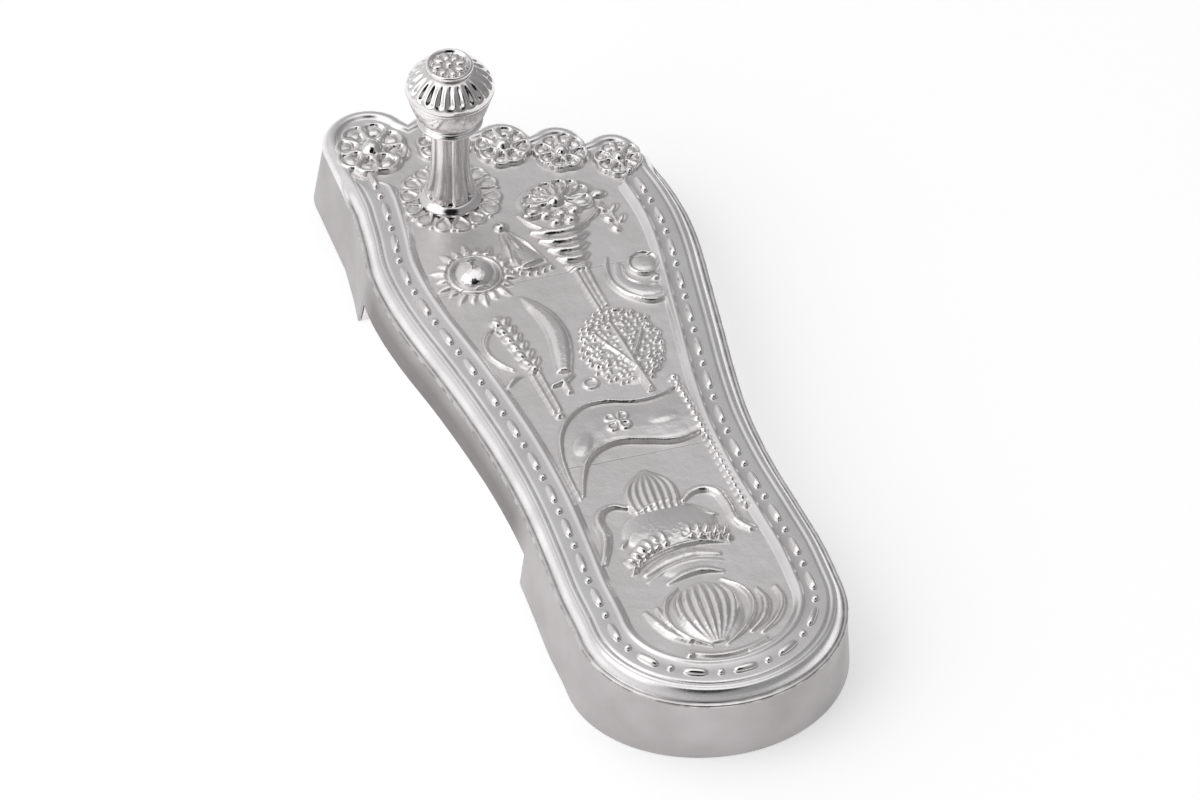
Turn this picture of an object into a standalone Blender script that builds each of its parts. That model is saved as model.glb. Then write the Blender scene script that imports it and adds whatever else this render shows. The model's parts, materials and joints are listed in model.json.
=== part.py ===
"""A silver toe-knob sandal (paduka) for the right foot.

The sandal is a hollow box of sheet silver in the outline of a foot: an embossed top plate, a plain side
wall that is cut up at the arch, and a sole plate bent into a front tread, an arch and a heel tread. A
hollow lobed stem with a mushroom head stands between the first two toes.

Metres, +Z up. +Y runs to the toes and the big toe is on the -X side. The origin is on the floor, under
the middle of the box of the whole sandal.
"""
import math
from collections import namedtuple

import bmesh
import bpy
from mathutils import Matrix, Vector

# The sole
SOLE_LENGTH = 0.250
BALL_WIDTH = 0.0934
WAIST_WIDTH = 0.0718
HEEL_WIDTH = 0.0740
DECK_HEIGHT = 0.0240          # floor to the flat border of the top plate
SHEET = 0.0008                # thickness of the sheet silver
CLEARANCE = 0.0003            # between neighbouring pieces
FLARE_MEDIAL = 0.0030         # how far the wall leans out from lip to floor
FLARE_LATERAL = 0.0015
FLARE_TOE = 0.0012

# The rim of the top plate
RIM_WIDTH = 0.0146            # lip to the edge of the recessed field
MOULDING_DROP = 0.0040        # border down to the lip
RIDGE_HEIGHT = 0.0006         # inner ridge over the border
FIELD_DEPTH = 0.0012          # border down to the field

# The underside
ARCH_FRONT_HEIGHT = 0.0085
ARCH_BACK_HEIGHT = 0.0100
STEP_RUN = 0.0008             # how far a step leans over its height

# The knob
STEM_RADIUS = 0.0053
STEM_LOBES = 6
LOBE_DEPTH = 0.0009
STEM_FLARE = 0.0013           # how far the foot of the stem bulges
STEM_HEIGHT = 0.0330
FOOT_RING_RADIUS = 0.0087
FOOT_RING_HEIGHT = 0.0026
COLLAR_HEIGHT = 0.0276        # border to the underside of the collar
COLLAR_THICKNESS = 0.0028
COLLAR_RADIUS = 0.0094
COLLAR_BEADS = 18
BOWL_HEIGHT = 0.0100
HEAD_RADIUS = 0.0125
CAP_HEIGHT = 0.0070
CAP_FLUTES = 24
FLUTE_DEPTH = 0.0007
MEDALLION_RADIUS = 0.0067
MEDALLION_HEIGHT = 0.0022
TURNED_STEPS = 24             # facets round a turned piece

# The raised work
EMBOSS = 0.0018               # height of a full boss over the field
BOSS_ROOT = 0.0004            # how deep a boss is rooted in the sheet
PETAL_HEIGHT = 0.0016
ROSETTE_PETALS = 14
ROSETTE_REACH = 0.0052        # petals beyond the foot ring

# Sections of the sole from the back of the heel's round to the root of the little toe. along is the share
# of that stretch, and medial and lateral are shares of width, to each side of the last's middle line.
Section = namedtuple("Section", "along width medial lateral")
SECTIONS = (
    Section(0.000, HEEL_WIDTH, 0.389, 0.611),
    Section(0.086, HEEL_WIDTH, 0.400, 0.608),
    Section(0.171, HEEL_WIDTH, 0.400, 0.587),
    Section(0.280, WAIST_WIDTH, 0.418, 0.575),
    Section(0.383, WAIST_WIDTH, 0.440, 0.566),
    Section(0.480, WAIST_WIDTH, 0.476, 0.581),
    Section(0.589, BALL_WIDTH, 0.405, 0.470),
    Section(0.703, BALL_WIDTH, 0.454, 0.494),
    Section(0.783, BALL_WIDTH, 0.479, 0.510),
    Section(0.857, BALL_WIDTH, 0.487, 0.513),
    Section(0.931, BALL_WIDTH, 0.473, 0.498),
    Section(1.000, BALL_WIDTH, 0.464, 0.469),
)
HEEL_ROUND = 0.46 * HEEL_WIDTH        # length of the heel's round
TOE_BLOCK = 0.44 * BALL_WIDTH         # root of the little toe to the tip of the big toe
BODY_STATIONS = 20
HEEL_STEPS = 14

# Toes as circles, big toe first. across and back are shares of the ball width: across from the middle
# line, and back from the tip of the big toe to the toe's centre. radius is a share of the ball width, and
# the flower's centre lies behind the toe's centre by flower_back, in shares of the toe's radius.
Toe = namedtuple("Toe", "across back radius flower_across flower_back flower_radius")
TOES = (
    Toe(-0.337, 0.141, 0.141, -0.04, 0.38, 0.77),
    Toe(-0.121, 0.173, 0.109, -0.02, 0.54, 0.73),
    Toe(0.049, 0.267, 0.098, 0.00, 0.25, 0.84),
    Toe(0.209, 0.323, 0.092, 0.06, 0.47, 0.86),
    Toe(0.364, 0.398, 0.090, 0.12, 0.48, 0.79),
)
TOE_ARC_STEP = math.radians(24)
FLOWER_PETALS = 8

# Rings of the top plate from the lip inwards. side and toe are insets as shares of the rim's width, along
# the sides and round the toes. drop, ridge and sink are shares of the moulding's drop, the ridge's height
# and the field's depth.
Ring = namedtuple("Ring", "side toe drop ridge sink toe_drop toe_sink")
RINGS = (
    Ring(0.000, 0.000, 1.00, 0.0, 0.0, 1.00, 0.0),
    Ring(0.100, 0.050, 0.72, 0.0, 0.0, 0.60, 0.0),
    Ring(0.210, 0.110, 0.22, 0.0, 0.0, 0.25, 0.0),
    Ring(0.310, 0.180, -0.04, 0.0, 0.0, 0.08, 0.0),
    Ring(0.790, 0.230, 0.00, 0.0, 0.0, 0.00, 0.4),
    Ring(0.850, 0.270, 0.00, 1.0, 0.0, 0.00, 0.7),
    Ring(1.000, 0.320, 0.00, 0.0, 1.0, 0.00, 1.0),
)
RIM_FADE = 0.105 * BALL_WIDTH         # length over which the rim narrows at the toes
RIM_END_MEDIAL = 0.335 * BALL_WIDTH   # from the tip of the big toe
RIM_END_LATERAL = 0.480 * BALL_WIDTH

# The arch between the two steps, as shares of the stretch from the heel's round to the little toe's root
HEEL_STEP = 0.243
FRONT_STEP = 0.880

# The knob's axis, in shares of the ball width from the middle line and from the tip of the big toe
KNOB_ACROSS = -0.166
KNOB_BACK = 0.459

# Raised domes of the field. across is in hundredths of the ball width from the middle line, along in
# hundredths of the sole's length from the heel, long and wide are half axes in hundredths of the ball
# width, turn is in degrees from the toe direction, and rise is a share of the emboss.
Dome = namedtuple("Dome", "name across along long wide turn rise")
DOMES = (
    Dome("sun_disc", -18.7, 69.6, 7.6, 7.6, 0, 0.7),
    Dome("sun_face", -18.9, 69.4, 5.4, 5.4, 0, 1.8),
    Dome("mace_ball", 13.0, 78.6, 4.0, 4.0, 0, 1.7),
    Dome("mace_petal_left", 5.5, 78.2, 5.6, 3.2, 24, 1.1),
    Dome("mace_petal_right", 20.6, 78.2, 5.4, 3.0, -24, 1.1),
    Dome("bud", 26.9, 78.4, 2.4, 2.4, 0, 1.2),
    Dome("bell_ball", -5.2, 76.0, 2.8, 2.6, 0, 1.4),
    Dome("moon_disc", 31.5, 66.2, 3.8, 3.6, 0, 0.8),
    Dome("tree_crown", 15.4, 54.9, 17.0, 12.2, 0, 0.9),
    Dome("banner_flower", 4.4, 42.6, 2.6, 2.6, 0, 1.4),
    Dome("vessel_bud", 5.4, 31.4, 9.0, 6.8, 0, 1.2),
    Dome("lotus_heart", 8.0, 12.6, 10.2, 5.0, 0, 1.5),
    Dome("lotus_left", -0.8, 12.2, 10.4, 4.0, 14, 1.2),
    Dome("lotus_right", 16.8, 12.4, 10.4, 4.0, -14, 1.2),
    Dome("lotus_leaf_left", -7.0, 11.4, 7.4, 2.4, 28, 0.9),
    Dome("lotus_leaf_right", 25.4, 11.6, 8.0, 2.8, -26, 0.9),
    Dome("scroll_left", 0.6, 7.0, 1.8, 4.6, -8, 0.8),
    Dome("scroll_right", 17.8, 7.0, 1.8, 5.4, 8, 0.8),
)
DOME_SIDES = 10
PETAL_SIDES = 8
SUN_RAYS = 14
SUN_REACH = 1.75                      # tips of the rays, in radii of the sun's disc

# Raised bars of the field, each a row of knots: across, along and half width, in the units of the domes.
Bar = namedtuple("Bar", "name rise knots")
BARS = (
    Bar("mace_neck", 1.1, ((13.6, 75.2, 9.6), (12.4, 71.4, 6.8), (11.6, 67.2, 3.6))),
    Bar("mace_handle", 0.8, ((11.6, 66.8, 2.4), (12.4, 60.6, 1.9))),
    Bar("bell_robe", 1.0, ((-5.2, 75.0, 1.8), (-3.4, 71.4, 3.4), (-1.0, 68.4, 4.6))),
    Bar("moon_horns", 0.9, ((24.0, 69.4, 1.2), (21.2, 65.6, 2.6), (24.4, 61.6, 3.2),
                            (30.0, 60.4, 2.4), (34.4, 62.2, 1.0))),
    Bar("sword_blade", 0.8, ((-7.6, 64.2, 0.8), (-4.8, 61.0, 2.9), (-3.4, 57.0, 3.2), (-4.2, 51.8, 2.6))),
    Bar("sword_guard", 1.1, ((-8.4, 50.2, 1.2), (-5.2, 50.4, 1.3), (-2.4, 51.2, 1.0))),
    Bar("goad_head", 1.1, ((-16.6, 62.2, 1.6), (-15.2, 57.8, 3.6), (-13.4, 53.4, 3.0))),
    Bar("goad_hook", 0.9, ((-18.2, 60.0, 1.0), (-22.8, 58.8, 1.3), (-23.8, 56.4, 1.3), (-18.8, 53.6, 1.1))),
    Bar("goad_shaft", 0.9, ((-14.0, 53.0, 1.7), (-12.0, 46.0, 1.6))),
    Bar("tree_trunk", 1.1, ((14.6, 57.6, 0.8), (15.8, 52.0, 1.3), (16.6, 46.6, 1.6))),
    Bar("banner", 0.9, ((24.6, 42.4, 9.6), (14.0, 41.8, 9.2), (4.0, 42.8, 8.8), (-3.6, 42.4, 8.8),
                        (-9.2, 40.4, 6.6), (-13.2, 37.0, 3.2), (-14.4, 32.8, 0.8))),
    Bar("banner_pole", 1.2, ((25.8, 48.0, 1.2), (27.4, 40.2, 1.1), (28.6, 33.0, 1.0), (30.0, 25.8, 0.9))),
    Bar("ribbon_left", 0.9, ((-3.6, 29.8, 1.2), (-9.8, 29.8, 1.8), (-12.8, 27.4, 1.8),
                             (-12.2, 24.8, 1.6), (-14.8, 22.4, 1.2))),
    Bar("ribbon_right", 1.0, ((13.8, 29.4, 1.3), (19.8, 30.4, 1.9), (25.0, 28.4, 1.9),
                              (25.8, 25.4, 1.6), (28.4, 23.4, 1.3))),
    Bar("vessel_neck", 0.9, ((-3.6, 28.2, 1.2), (5.0, 29.4, 1.9), (12.4, 29.0, 1.2))),
    Bar("vessel_belt", 1.5, ((-8.6, 21.4, 3.4), (3.2, 24.0, 4.4), (13.4, 24.6, 4.4), (21.6, 22.4, 3.2))),
    Bar("vessel_hem", 1.0, ((-7.4, 20.0, 1.4), (5.6, 21.9, 2.4), (14.6, 21.9, 2.4), (20.6, 20.0, 1.4))),
    Bar("vessel_foot", 0.9, ((-1.0, 18.4, 1.6), (8.0, 19.2, 2.4), (16.6, 18.6, 1.6))),
)

BALL_LINE = SOLE_LENGTH - TOE_BLOCK
DECK = DECK_HEIGHT
LIP_HEIGHT = DECK_HEIGHT - MOULDING_DROP
FIELD_HEIGHT = DECK_HEIGHT - FIELD_DEPTH

Rim = namedtuple("Rim", "place inward toe_share clear_height")


def reset_scene():
    for thing in list(bpy.data.objects):
        bpy.data.objects.remove(thing, do_unlink=True)


def smooth_step(value):
    value = min(1.0, max(0.0, value))
    return value * value * (3.0 - 2.0 * value)


def section_along(along):
    """Distance from the back of the heel to a share of the body."""
    return HEEL_ROUND + along * (BALL_LINE - HEEL_ROUND)


def side_line(side, distance):
    """Distance of the medial or lateral outline from the middle line, by a smooth curve."""
    knots = [(section_along(row.along), row.width * getattr(row, side)) for row in SECTIONS]
    slopes = []
    for index in range(len(knots)):
        before = knots[max(0, index - 1)]
        after = knots[min(len(knots) - 1, index + 1)]
        slopes.append((after[1] - before[1]) / (after[0] - before[0]))
    slopes[0] = 0.0
    index = 0
    while index < len(knots) - 2 and distance > knots[index + 1][0]:
        index += 1
    (start, low), (end, high) = knots[index], knots[index + 1]
    span = end - start
    t = (distance - start) / span
    return (low * (2 * t ** 3 - 3 * t ** 2 + 1) + high * (3 * t ** 2 - 2 * t ** 3)
            + slopes[index] * span * (t ** 3 - 2 * t ** 2 + t)
            + slopes[index + 1] * span * (t ** 3 - t ** 2))


def body_distances():
    """Where the sides are sampled, with two close stations at each step of the underside."""
    heel_step = section_along(HEEL_STEP)
    front_step = section_along(FRONT_STEP)
    steps = [heel_step, heel_step + STEP_RUN, front_step - STEP_RUN, front_step]
    pitch = (BALL_LINE - HEEL_ROUND) / BODY_STATIONS
    even = [HEEL_ROUND + pitch * count for count in range(BODY_STATIONS + 1)]
    even = [place for place in even if min(abs(place - step) for step in steps) > 0.3 * pitch]
    return sorted(even + steps)


def toe_circle(toe):
    centre = Vector((toe.across * BALL_WIDTH, SOLE_LENGTH - toe.back * BALL_WIDTH))
    return centre, toe.radius * BALL_WIDTH


def flower_centre(toe):
    centre, radius = toe_circle(toe)
    return centre + radius * Vector((toe.flower_across, -toe.flower_back))


def toe_valley(first, second):
    """Outer crossing of two neighbouring toe circles."""
    centre_a, radius_a = toe_circle(first)
    centre_b, radius_b = toe_circle(second)
    along = centre_b - centre_a
    reach = along.length
    along.normalize()
    offset = (radius_a ** 2 - radius_b ** 2 + reach ** 2) / (2 * reach)
    height = math.sqrt(max(0.0, radius_a ** 2 - offset ** 2))
    return centre_a + along * offset + Vector((-along.y, along.x)) * height


def toe_points():
    """Outline of the toes, from the side of the little toe round to the side of the big toe."""
    points = []
    start_angle = math.radians(-8)
    for index in range(len(TOES) - 1, -1, -1):
        centre, radius = toe_circle(TOES[index])
        if index:
            valley = toe_valley(TOES[index - 1], TOES[index])
            end_angle = math.atan2(valley.y - centre.y, valley.x - centre.x)
        else:
            end_angle = math.pi
        count = max(2, math.ceil((end_angle - start_angle) / TOE_ARC_STEP))
        for step in range(count):
            angle = start_angle + (end_angle - start_angle) * step / count
            points.append(centre + radius * Vector((math.cos(angle), math.sin(angle))))
        if index:
            next_centre, _ = toe_circle(TOES[index - 1])
            start_angle = math.atan2(valley.y - next_centre.y, valley.x - next_centre.x)
        else:
            points.append(centre + Vector((-radius, 0.0)))
    return points


def heel_points():
    """The heel's round, from the medial side to the lateral side, without its two ends."""
    row = SECTIONS[0]
    middle = 0.5 * row.width * (row.lateral - row.medial)
    half = 0.5 * row.width * (row.lateral + row.medial)
    points = []
    for step in range(1, HEEL_STEPS):
        angle = math.pi + math.pi * step / HEEL_STEPS
        points.append(Vector((middle + half * math.cos(angle), HEEL_ROUND * (1 + math.sin(angle)))))
    return points


def arch_height(distance):
    """Height of the underside over the floor at a distance from the back of the heel."""
    start = section_along(HEEL_STEP) + 0.5 * STEP_RUN
    end = section_along(FRONT_STEP) - 0.5 * STEP_RUN
    if distance < start or distance > end:
        return 0.0
    share = (distance - start) / (end - start)
    return ARCH_BACK_HEIGHT + (ARCH_FRONT_HEIGHT - ARCH_BACK_HEIGHT) * share


def rim_points():
    """The lip's outline, anticlockwise from the big toe, with what each point needs for the rings."""
    distances = body_distances()
    flank_top = SOLE_LENGTH - TOES[0].back * BALL_WIDTH
    flank_side = -(TOES[0].radius - TOES[0].across) * BALL_WIDTH
    places = []
    flank_steps = 5
    for step in range(1, flank_steps):
        share = step / flank_steps
        across = flank_side + (-side_line("medial", BALL_LINE) - flank_side) * share
        places.append(Vector((across, flank_top + (BALL_LINE - flank_top) * share)))
    places += [Vector((-side_line("medial", place), place)) for place in reversed(distances)]
    places += heel_points()
    places += [Vector((side_line("lateral", place), place)) for place in distances]
    places += toe_points()
    rims = []
    for index, place in enumerate(places):
        before = (place - places[index - 1]).normalized()
        after = (places[(index + 1) % len(places)] - place).normalized()
        heading = (before + after).normalized()
        inward = Vector((-heading.y, heading.x))
        end = RIM_END_MEDIAL if place.x < 0.0 else RIM_END_LATERAL
        toe_share = smooth_step((place.y - (SOLE_LENGTH - end)) / RIM_FADE + 0.5)
        rims.append(Rim(place, inward, toe_share, arch_height(place.y)))
    return rims


def wall_place(rim, height, inset):
    """Point of the wall's outer face at a height, moved inwards by an inset."""
    outward = -rim.inward
    side = FLARE_MEDIAL if outward.x < 0.0 else FLARE_LATERAL
    lean = side * outward.x ** 2 + FLARE_TOE * max(0.0, outward.y)
    depth = (LIP_HEIGHT - height) / LIP_HEIGHT
    place = rim.place + outward * (lean * depth - inset)
    return Vector((place.x, place.y, height))


def sandal_centre(rims):
    """Middle of the box of the sandal, which becomes the origin."""
    feet = [wall_place(rim, rim.clear_height, 0.0) for rim in rims]
    lips = [Vector((rim.place.x, rim.place.y, LIP_HEIGHT)) for rim in rims]
    every = feet + lips
    across = [point.x for point in every]
    along = [point.y for point in every]
    return Vector((0.5 * (min(across) + max(across)), 0.5 * (min(along) + max(along)), 0.0))


def silver(name, roughness, tone):
    material = bpy.data.materials.new(name)
    material.use_nodes = True
    shader = material.node_tree.nodes["Principled BSDF"]
    shader.inputs["Base Color"].default_value = (tone, 0.99 * tone, 0.975 * tone, 1.0)
    shader.inputs["Metallic"].default_value = 1.0
    shader.inputs["Roughness"].default_value = roughness
    return material


def collection(name):
    group = bpy.data.collections.new(name)
    bpy.context.scene.collection.children.link(group)
    return group


def add_object(name, mesh, group, material, origin):
    """Link a mesh as a named piece, with the sandal's centre moved to the origin."""
    mesh.transform(Matrix.Translation(-origin))
    mesh.materials.clear()
    mesh.materials.append(material)
    mesh.shade_smooth()
    mesh.set_sharp_from_angle(angle=math.radians(40))
    piece = bpy.data.objects.new(name, mesh)
    group.objects.link(piece)
    return piece


def mesh_from(form, name):
    bmesh.ops.recalc_face_normals(form, faces=form.faces)
    mesh = bpy.data.meshes.new(name)
    form.to_mesh(mesh)
    form.free()
    return mesh


def bridge_rings(form, rings, close_loop=True):
    """Quads between rings of vertices of one length."""
    for lower, upper in zip(rings, rings[1:]):
        count = len(lower)
        for index in range(count if close_loop else count - 1):
            following = (index + 1) % count
            form.faces.new((lower[index], lower[following], upper[following], upper[index]))


def solidify(piece, thickness, offset=-1.0):
    wall = piece.modifiers.new("Wall", "SOLIDIFY")
    wall.thickness = thickness
    wall.offset = offset
    wall.use_even_offset = False
    return wall


def top_plate_sheet(rims):
    """The embossed sheet's upper face: rings from the lip inwards, closed by the flat field."""
    form = bmesh.new()
    rings = []
    for ring in RINGS:
        verts = []
        for rim in rims:
            inset = RIM_WIDTH * (ring.side + (ring.toe - ring.side) * rim.toe_share)
            drop = MOULDING_DROP * (ring.drop + (ring.toe_drop - ring.drop) * rim.toe_share)
            sink = FIELD_DEPTH * (ring.sink + (ring.toe_sink - ring.sink) * rim.toe_share)
            ridge = RIDGE_HEIGHT * ring.ridge * (1 - rim.toe_share)
            place = rim.place + rim.inward * inset
            verts.append(form.verts.new((place.x, place.y, DECK - drop - sink + ridge)))
        rings.append(verts)
    bridge_rings(form, rings)
    form.faces.new(rings[-1])
    mesh = bpy.data.meshes.new("top_plate")
    form.to_mesh(mesh)
    form.free()
    return mesh


def add_dome(form, place, long, wide, turn, height, sides=PETAL_SIDES, levels=4):
    """Half an ellipsoid on the field, with a short root in the sheet."""
    ball = bmesh.new()
    bmesh.ops.create_uvsphere(ball, u_segments=sides, v_segments=levels, radius=1.0)
    bmesh.ops.scale(ball, vec=(wide, long, height), verts=ball.verts)
    cut = ball.verts[:] + ball.edges[:] + ball.faces[:]
    sunk = bmesh.ops.bisect_plane(ball, geom=cut, plane_co=(0, 0, 0), plane_no=(0, 0, -1), clear_outer=True)
    edges = [item for item in sunk["geom_cut"] if isinstance(item, bmesh.types.BMEdge)]
    root = bmesh.ops.extrude_edge_only(ball, edges=edges)
    low = [item for item in root["geom"] if isinstance(item, bmesh.types.BMVert)]
    bmesh.ops.translate(ball, vec=(0, 0, -BOSS_ROOT), verts=low)
    bmesh.ops.holes_fill(ball, edges=[edge for edge in ball.edges if edge.is_boundary], sides=0)
    where = Matrix.Translation(Vector((place.x, place.y, FIELD_HEIGHT)))
    where = where @ Matrix.Rotation(math.radians(turn), 4, "Z")
    bmesh.ops.transform(ball, matrix=where, verts=ball.verts)
    merge_into(form, ball)


def merge_into(form, addition):
    bmesh.ops.recalc_face_normals(addition, faces=addition.faces)
    mesh = bpy.data.meshes.new("part_of_relief")
    addition.to_mesh(mesh)
    addition.free()
    form.from_mesh(mesh)
    bpy.data.meshes.remove(mesh)


def add_bar(form, knots, height):
    """A bar of trapezoid section along its knots, rooted in the sheet."""
    bar = bmesh.new()
    rings = []
    for index, (centre, half) in enumerate(knots):
        before = knots[max(0, index - 1)][0]
        after = knots[min(len(knots) - 1, index + 1)][0]
        heading = (after - before).normalized()
        across = Vector((-heading.y, heading.x))
        ring = []
        for share, level in ((-1.0, -BOSS_ROOT), (-0.55, height), (0.55, height), (1.0, -BOSS_ROOT)):
            place = centre + across * half * share
            ring.append(bar.verts.new((place.x, place.y, FIELD_HEIGHT + level)))
        rings.append(ring)
    bridge_rings(bar, rings)
    bar.faces.new(rings[0])
    bar.faces.new(rings[-1])
    merge_into(form, bar)


def field_place(across, along):
    """A place on the field from hundredths of the ball width and of the sole's length."""
    return Vector((0.01 * across * BALL_WIDTH, 0.01 * along * SOLE_LENGTH))


def knob_place():
    return Vector((KNOB_ACROSS * BALL_WIDTH, SOLE_LENGTH - KNOB_BACK * BALL_WIDTH))


def add_flower(form, centre, radius):
    """A round flower: a ball and a ring of petals."""
    add_dome(form, centre, 0.26 * radius, 0.26 * radius, 0, 1.5 * PETAL_HEIGHT)
    for petal in range(FLOWER_PETALS):
        turn = 2 * math.pi * petal / FLOWER_PETALS
        outward = Vector((-math.sin(turn), math.cos(turn)))
        add_dome(form, centre + 0.66 * radius * outward, 0.32 * radius, 0.22 * radius,
                 math.degrees(turn), PETAL_HEIGHT)


def add_rosette(form):
    """Petals round the knob's foot."""
    middle = FOOT_RING_RADIUS + CLEARANCE + 0.52 * ROSETTE_REACH
    for petal in range(ROSETTE_PETALS):
        turn = 2 * math.pi * petal / ROSETTE_PETALS
        outward = Vector((-math.sin(turn), math.cos(turn)))
        half_width = 0.42 * middle * 2 * math.pi / ROSETTE_PETALS
        add_dome(form, knob_place() + middle * outward, 0.42 * ROSETTE_REACH, half_width,
                 math.degrees(turn), 0.7 * PETAL_HEIGHT)


def add_rays(form, sun):
    """Pointed rays round the sun's disc."""
    centre = field_place(sun.across, sun.along)
    radius = 0.01 * sun.long * BALL_WIDTH
    root = 1.08 * radius
    half = 0.36 * root * 2 * math.pi / SUN_RAYS
    for ray in range(SUN_RAYS):
        turn = 2 * math.pi * ray / SUN_RAYS
        outward = Vector((-math.sin(turn), math.cos(turn)))
        knots = [(centre + root * outward, half), (centre + SUN_REACH * radius * outward, 0.2 * half)]
        add_bar(form, knots, 0.4 * EMBOSS)


def relief_mesh():
    form = bmesh.new()
    for toe in TOES:
        add_flower(form, flower_centre(toe), toe.flower_radius * toe.radius * BALL_WIDTH)
    add_rosette(form)
    add_rays(form, DOMES[0])
    share = 0.01 * BALL_WIDTH
    for row in DOMES:
        add_dome(form, field_place(row.across, row.along), row.long * share, row.wide * share,
                 row.turn, row.rise * EMBOSS, sides=DOME_SIDES, levels=6)
    for row in BARS:
        knots = [(field_place(across, along), half * share) for across, along, half in row.knots]
        add_bar(form, knots, row.rise * EMBOSS)
    mesh = bpy.data.meshes.new("relief")
    form.to_mesh(mesh)
    form.free()
    return mesh


def build_top_plate(rims, parts, cutters, origin):
    plate = add_object("top_plate", top_plate_sheet(rims), parts, silver("embossed_silver", 0.28, 0.86), origin)
    solidify(plate, SHEET)
    relief = add_object("relief_form", relief_mesh(), cutters, silver("relief_silver", 0.28, 0.86), origin)
    relief.hide_render = True
    relief.display_type = "WIRE"
    union = plate.modifiers.new("Relief", "BOOLEAN")
    union.operation = "UNION"
    union.object = relief
    union.solver = "EXACT"
    union.use_self = True


def build_side_wall(rims, parts, origin):
    """The plain band from the lip to the floor, cut up at the arch."""
    form = bmesh.new()
    top = LIP_HEIGHT - SHEET - CLEARANCE
    rings = []
    for inset, at_top in ((0.0, True), (0.0, False), (SHEET, False), (SHEET, True)):
        verts = []
        for rim in rims:
            height = top if at_top else rim.clear_height
            verts.append(form.verts.new(wall_place(rim, height, inset)))
        rings.append(verts)
    bridge_rings(form, rings + rings[:1])
    add_object("side_wall", mesh_from(form, "side_wall"), parts, silver("satin_silver", 0.38, 0.80), origin)


def build_sole_plate(rims, parts, origin):
    """The bent sheet that closes the underside, between the walls."""
    inset = SHEET + CLEARANCE
    form = bmesh.new()
    verts = [form.verts.new(wall_place(rim, rim.clear_height, inset)) for rim in rims]
    medial = [index for index, rim in enumerate(rims)
              if rim.place.x < 0.0 and HEEL_ROUND - 1e-6 <= rim.place.y <= BALL_LINE + 1e-6]
    lateral = [index for index, rim in enumerate(rims)
               if rim.place.x > 0.0 and HEEL_ROUND - 1e-6 <= rim.place.y <= BALL_LINE + 1e-6
               and index <= medial[-1] + HEEL_STEPS + len(medial)]
    medial.reverse()
    for low, high in zip(range(len(medial) - 1), range(1, len(medial))):
        form.faces.new((verts[medial[low]], verts[lateral[low]], verts[lateral[high]], verts[medial[high]]))
    form.faces.new([verts[index] for index in range(medial[0], lateral[0] + 1)])
    toes = list(range(lateral[-1], len(rims))) + list(range(0, medial[-1] + 1))
    form.faces.new([verts[index] for index in toes])
    mesh = bpy.data.meshes.new("sole_plate")
    form.to_mesh(mesh)
    form.free()
    sole = add_object("sole_plate", mesh, parts, silver("plain_silver", 0.42, 0.78), origin)
    solidify(sole, SHEET, offset=1.0)


def turned(name, profile, steps, place, parts, material, origin, closed=False):
    """A turned piece: a profile of radius and height, spun about the knob's axis."""
    mesh = bpy.data.meshes.new(name)
    form = bmesh.new()
    verts = [form.verts.new((radius, 0.0, height)) for radius, height in profile]
    for first, second in zip(verts, verts[1:]):
        form.edges.new((first, second))
    if closed:
        form.edges.new((verts[-1], verts[0]))
    form.to_mesh(mesh)
    form.free()
    piece = bpy.data.objects.new(name, mesh)
    parts.objects.link(piece)
    piece.location = Vector((place.x, place.y, 0.0)) - origin
    mesh.materials.append(material)
    spin = piece.modifiers.new("Turn", "SCREW")
    spin.steps = steps
    spin.render_steps = steps
    spin.use_merge_vertices = True
    spin.merge_threshold = 0.00001
    spin.use_smooth_shade = True
    return piece


def ring_profile(inner, outer, low, high, sides):
    """A closed oval section, from its outer side over the top."""
    middle = 0.5 * (inner + outer)
    level = 0.5 * (low + high)
    return [(middle + 0.5 * (outer - inner) * math.cos(2 * math.pi * side / sides),
             level - 0.5 * (high - low) * math.sin(2 * math.pi * side / sides)) for side in range(sides)]


def lobed_rings(form, levels, count, centre):
    """Rings of points whose radius swings between two values, each level its own."""
    rings = []
    for height, radius, swing, waves in levels:
        verts = []
        for index in range(count):
            angle = 2 * math.pi * index / count
            reach = radius - swing * 0.5 * (1 - math.cos(waves * angle))
            verts.append(form.verts.new((centre.x + reach * math.cos(angle),
                                         centre.y + reach * math.sin(angle), height)))
        rings.append(verts)
    bridge_rings(form, rings)
    return rings


def build_stem(parts, origin):
    """The hollow lobed stem, bulging at its foot."""
    low = FIELD_HEIGHT + CLEARANCE
    span = STEM_HEIGHT
    bulge = STEM_RADIUS + STEM_FLARE
    levels = (
        (low, STEM_RADIUS, LOBE_DEPTH, STEM_LOBES),
        (low + 0.10 * span, bulge, 1.5 * LOBE_DEPTH, STEM_LOBES),
        (low + 0.20 * span, bulge - 0.3 * STEM_FLARE, 1.5 * LOBE_DEPTH, STEM_LOBES),
        (low + 0.36 * span, STEM_RADIUS, LOBE_DEPTH, STEM_LOBES),
        (low + 0.80 * span, STEM_RADIUS, LOBE_DEPTH, STEM_LOBES),
        (low + span, STEM_RADIUS - LOBE_DEPTH, 0.0, STEM_LOBES),
    )
    form = bmesh.new()
    lobed_rings(form, levels, 4 * STEM_LOBES, knob_place())
    mesh = mesh_from(form, "knob_post")
    stem = add_object("knob_post", mesh, parts, silver("stem_silver", 0.26, 0.86), origin)
    solidify(stem, SHEET)


def build_foot_ring(parts, origin):
    inner = STEM_RADIUS + STEM_FLARE + CLEARANCE
    low = FIELD_HEIGHT + CLEARANCE
    profile = ring_profile(inner, FOOT_RING_RADIUS, low, low + FOOT_RING_HEIGHT, 6)
    turned("foot_ring", profile, TURNED_STEPS, knob_place(), parts, silver("foot_ring_silver", 0.20, 0.88), origin,
           closed=True)


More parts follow.
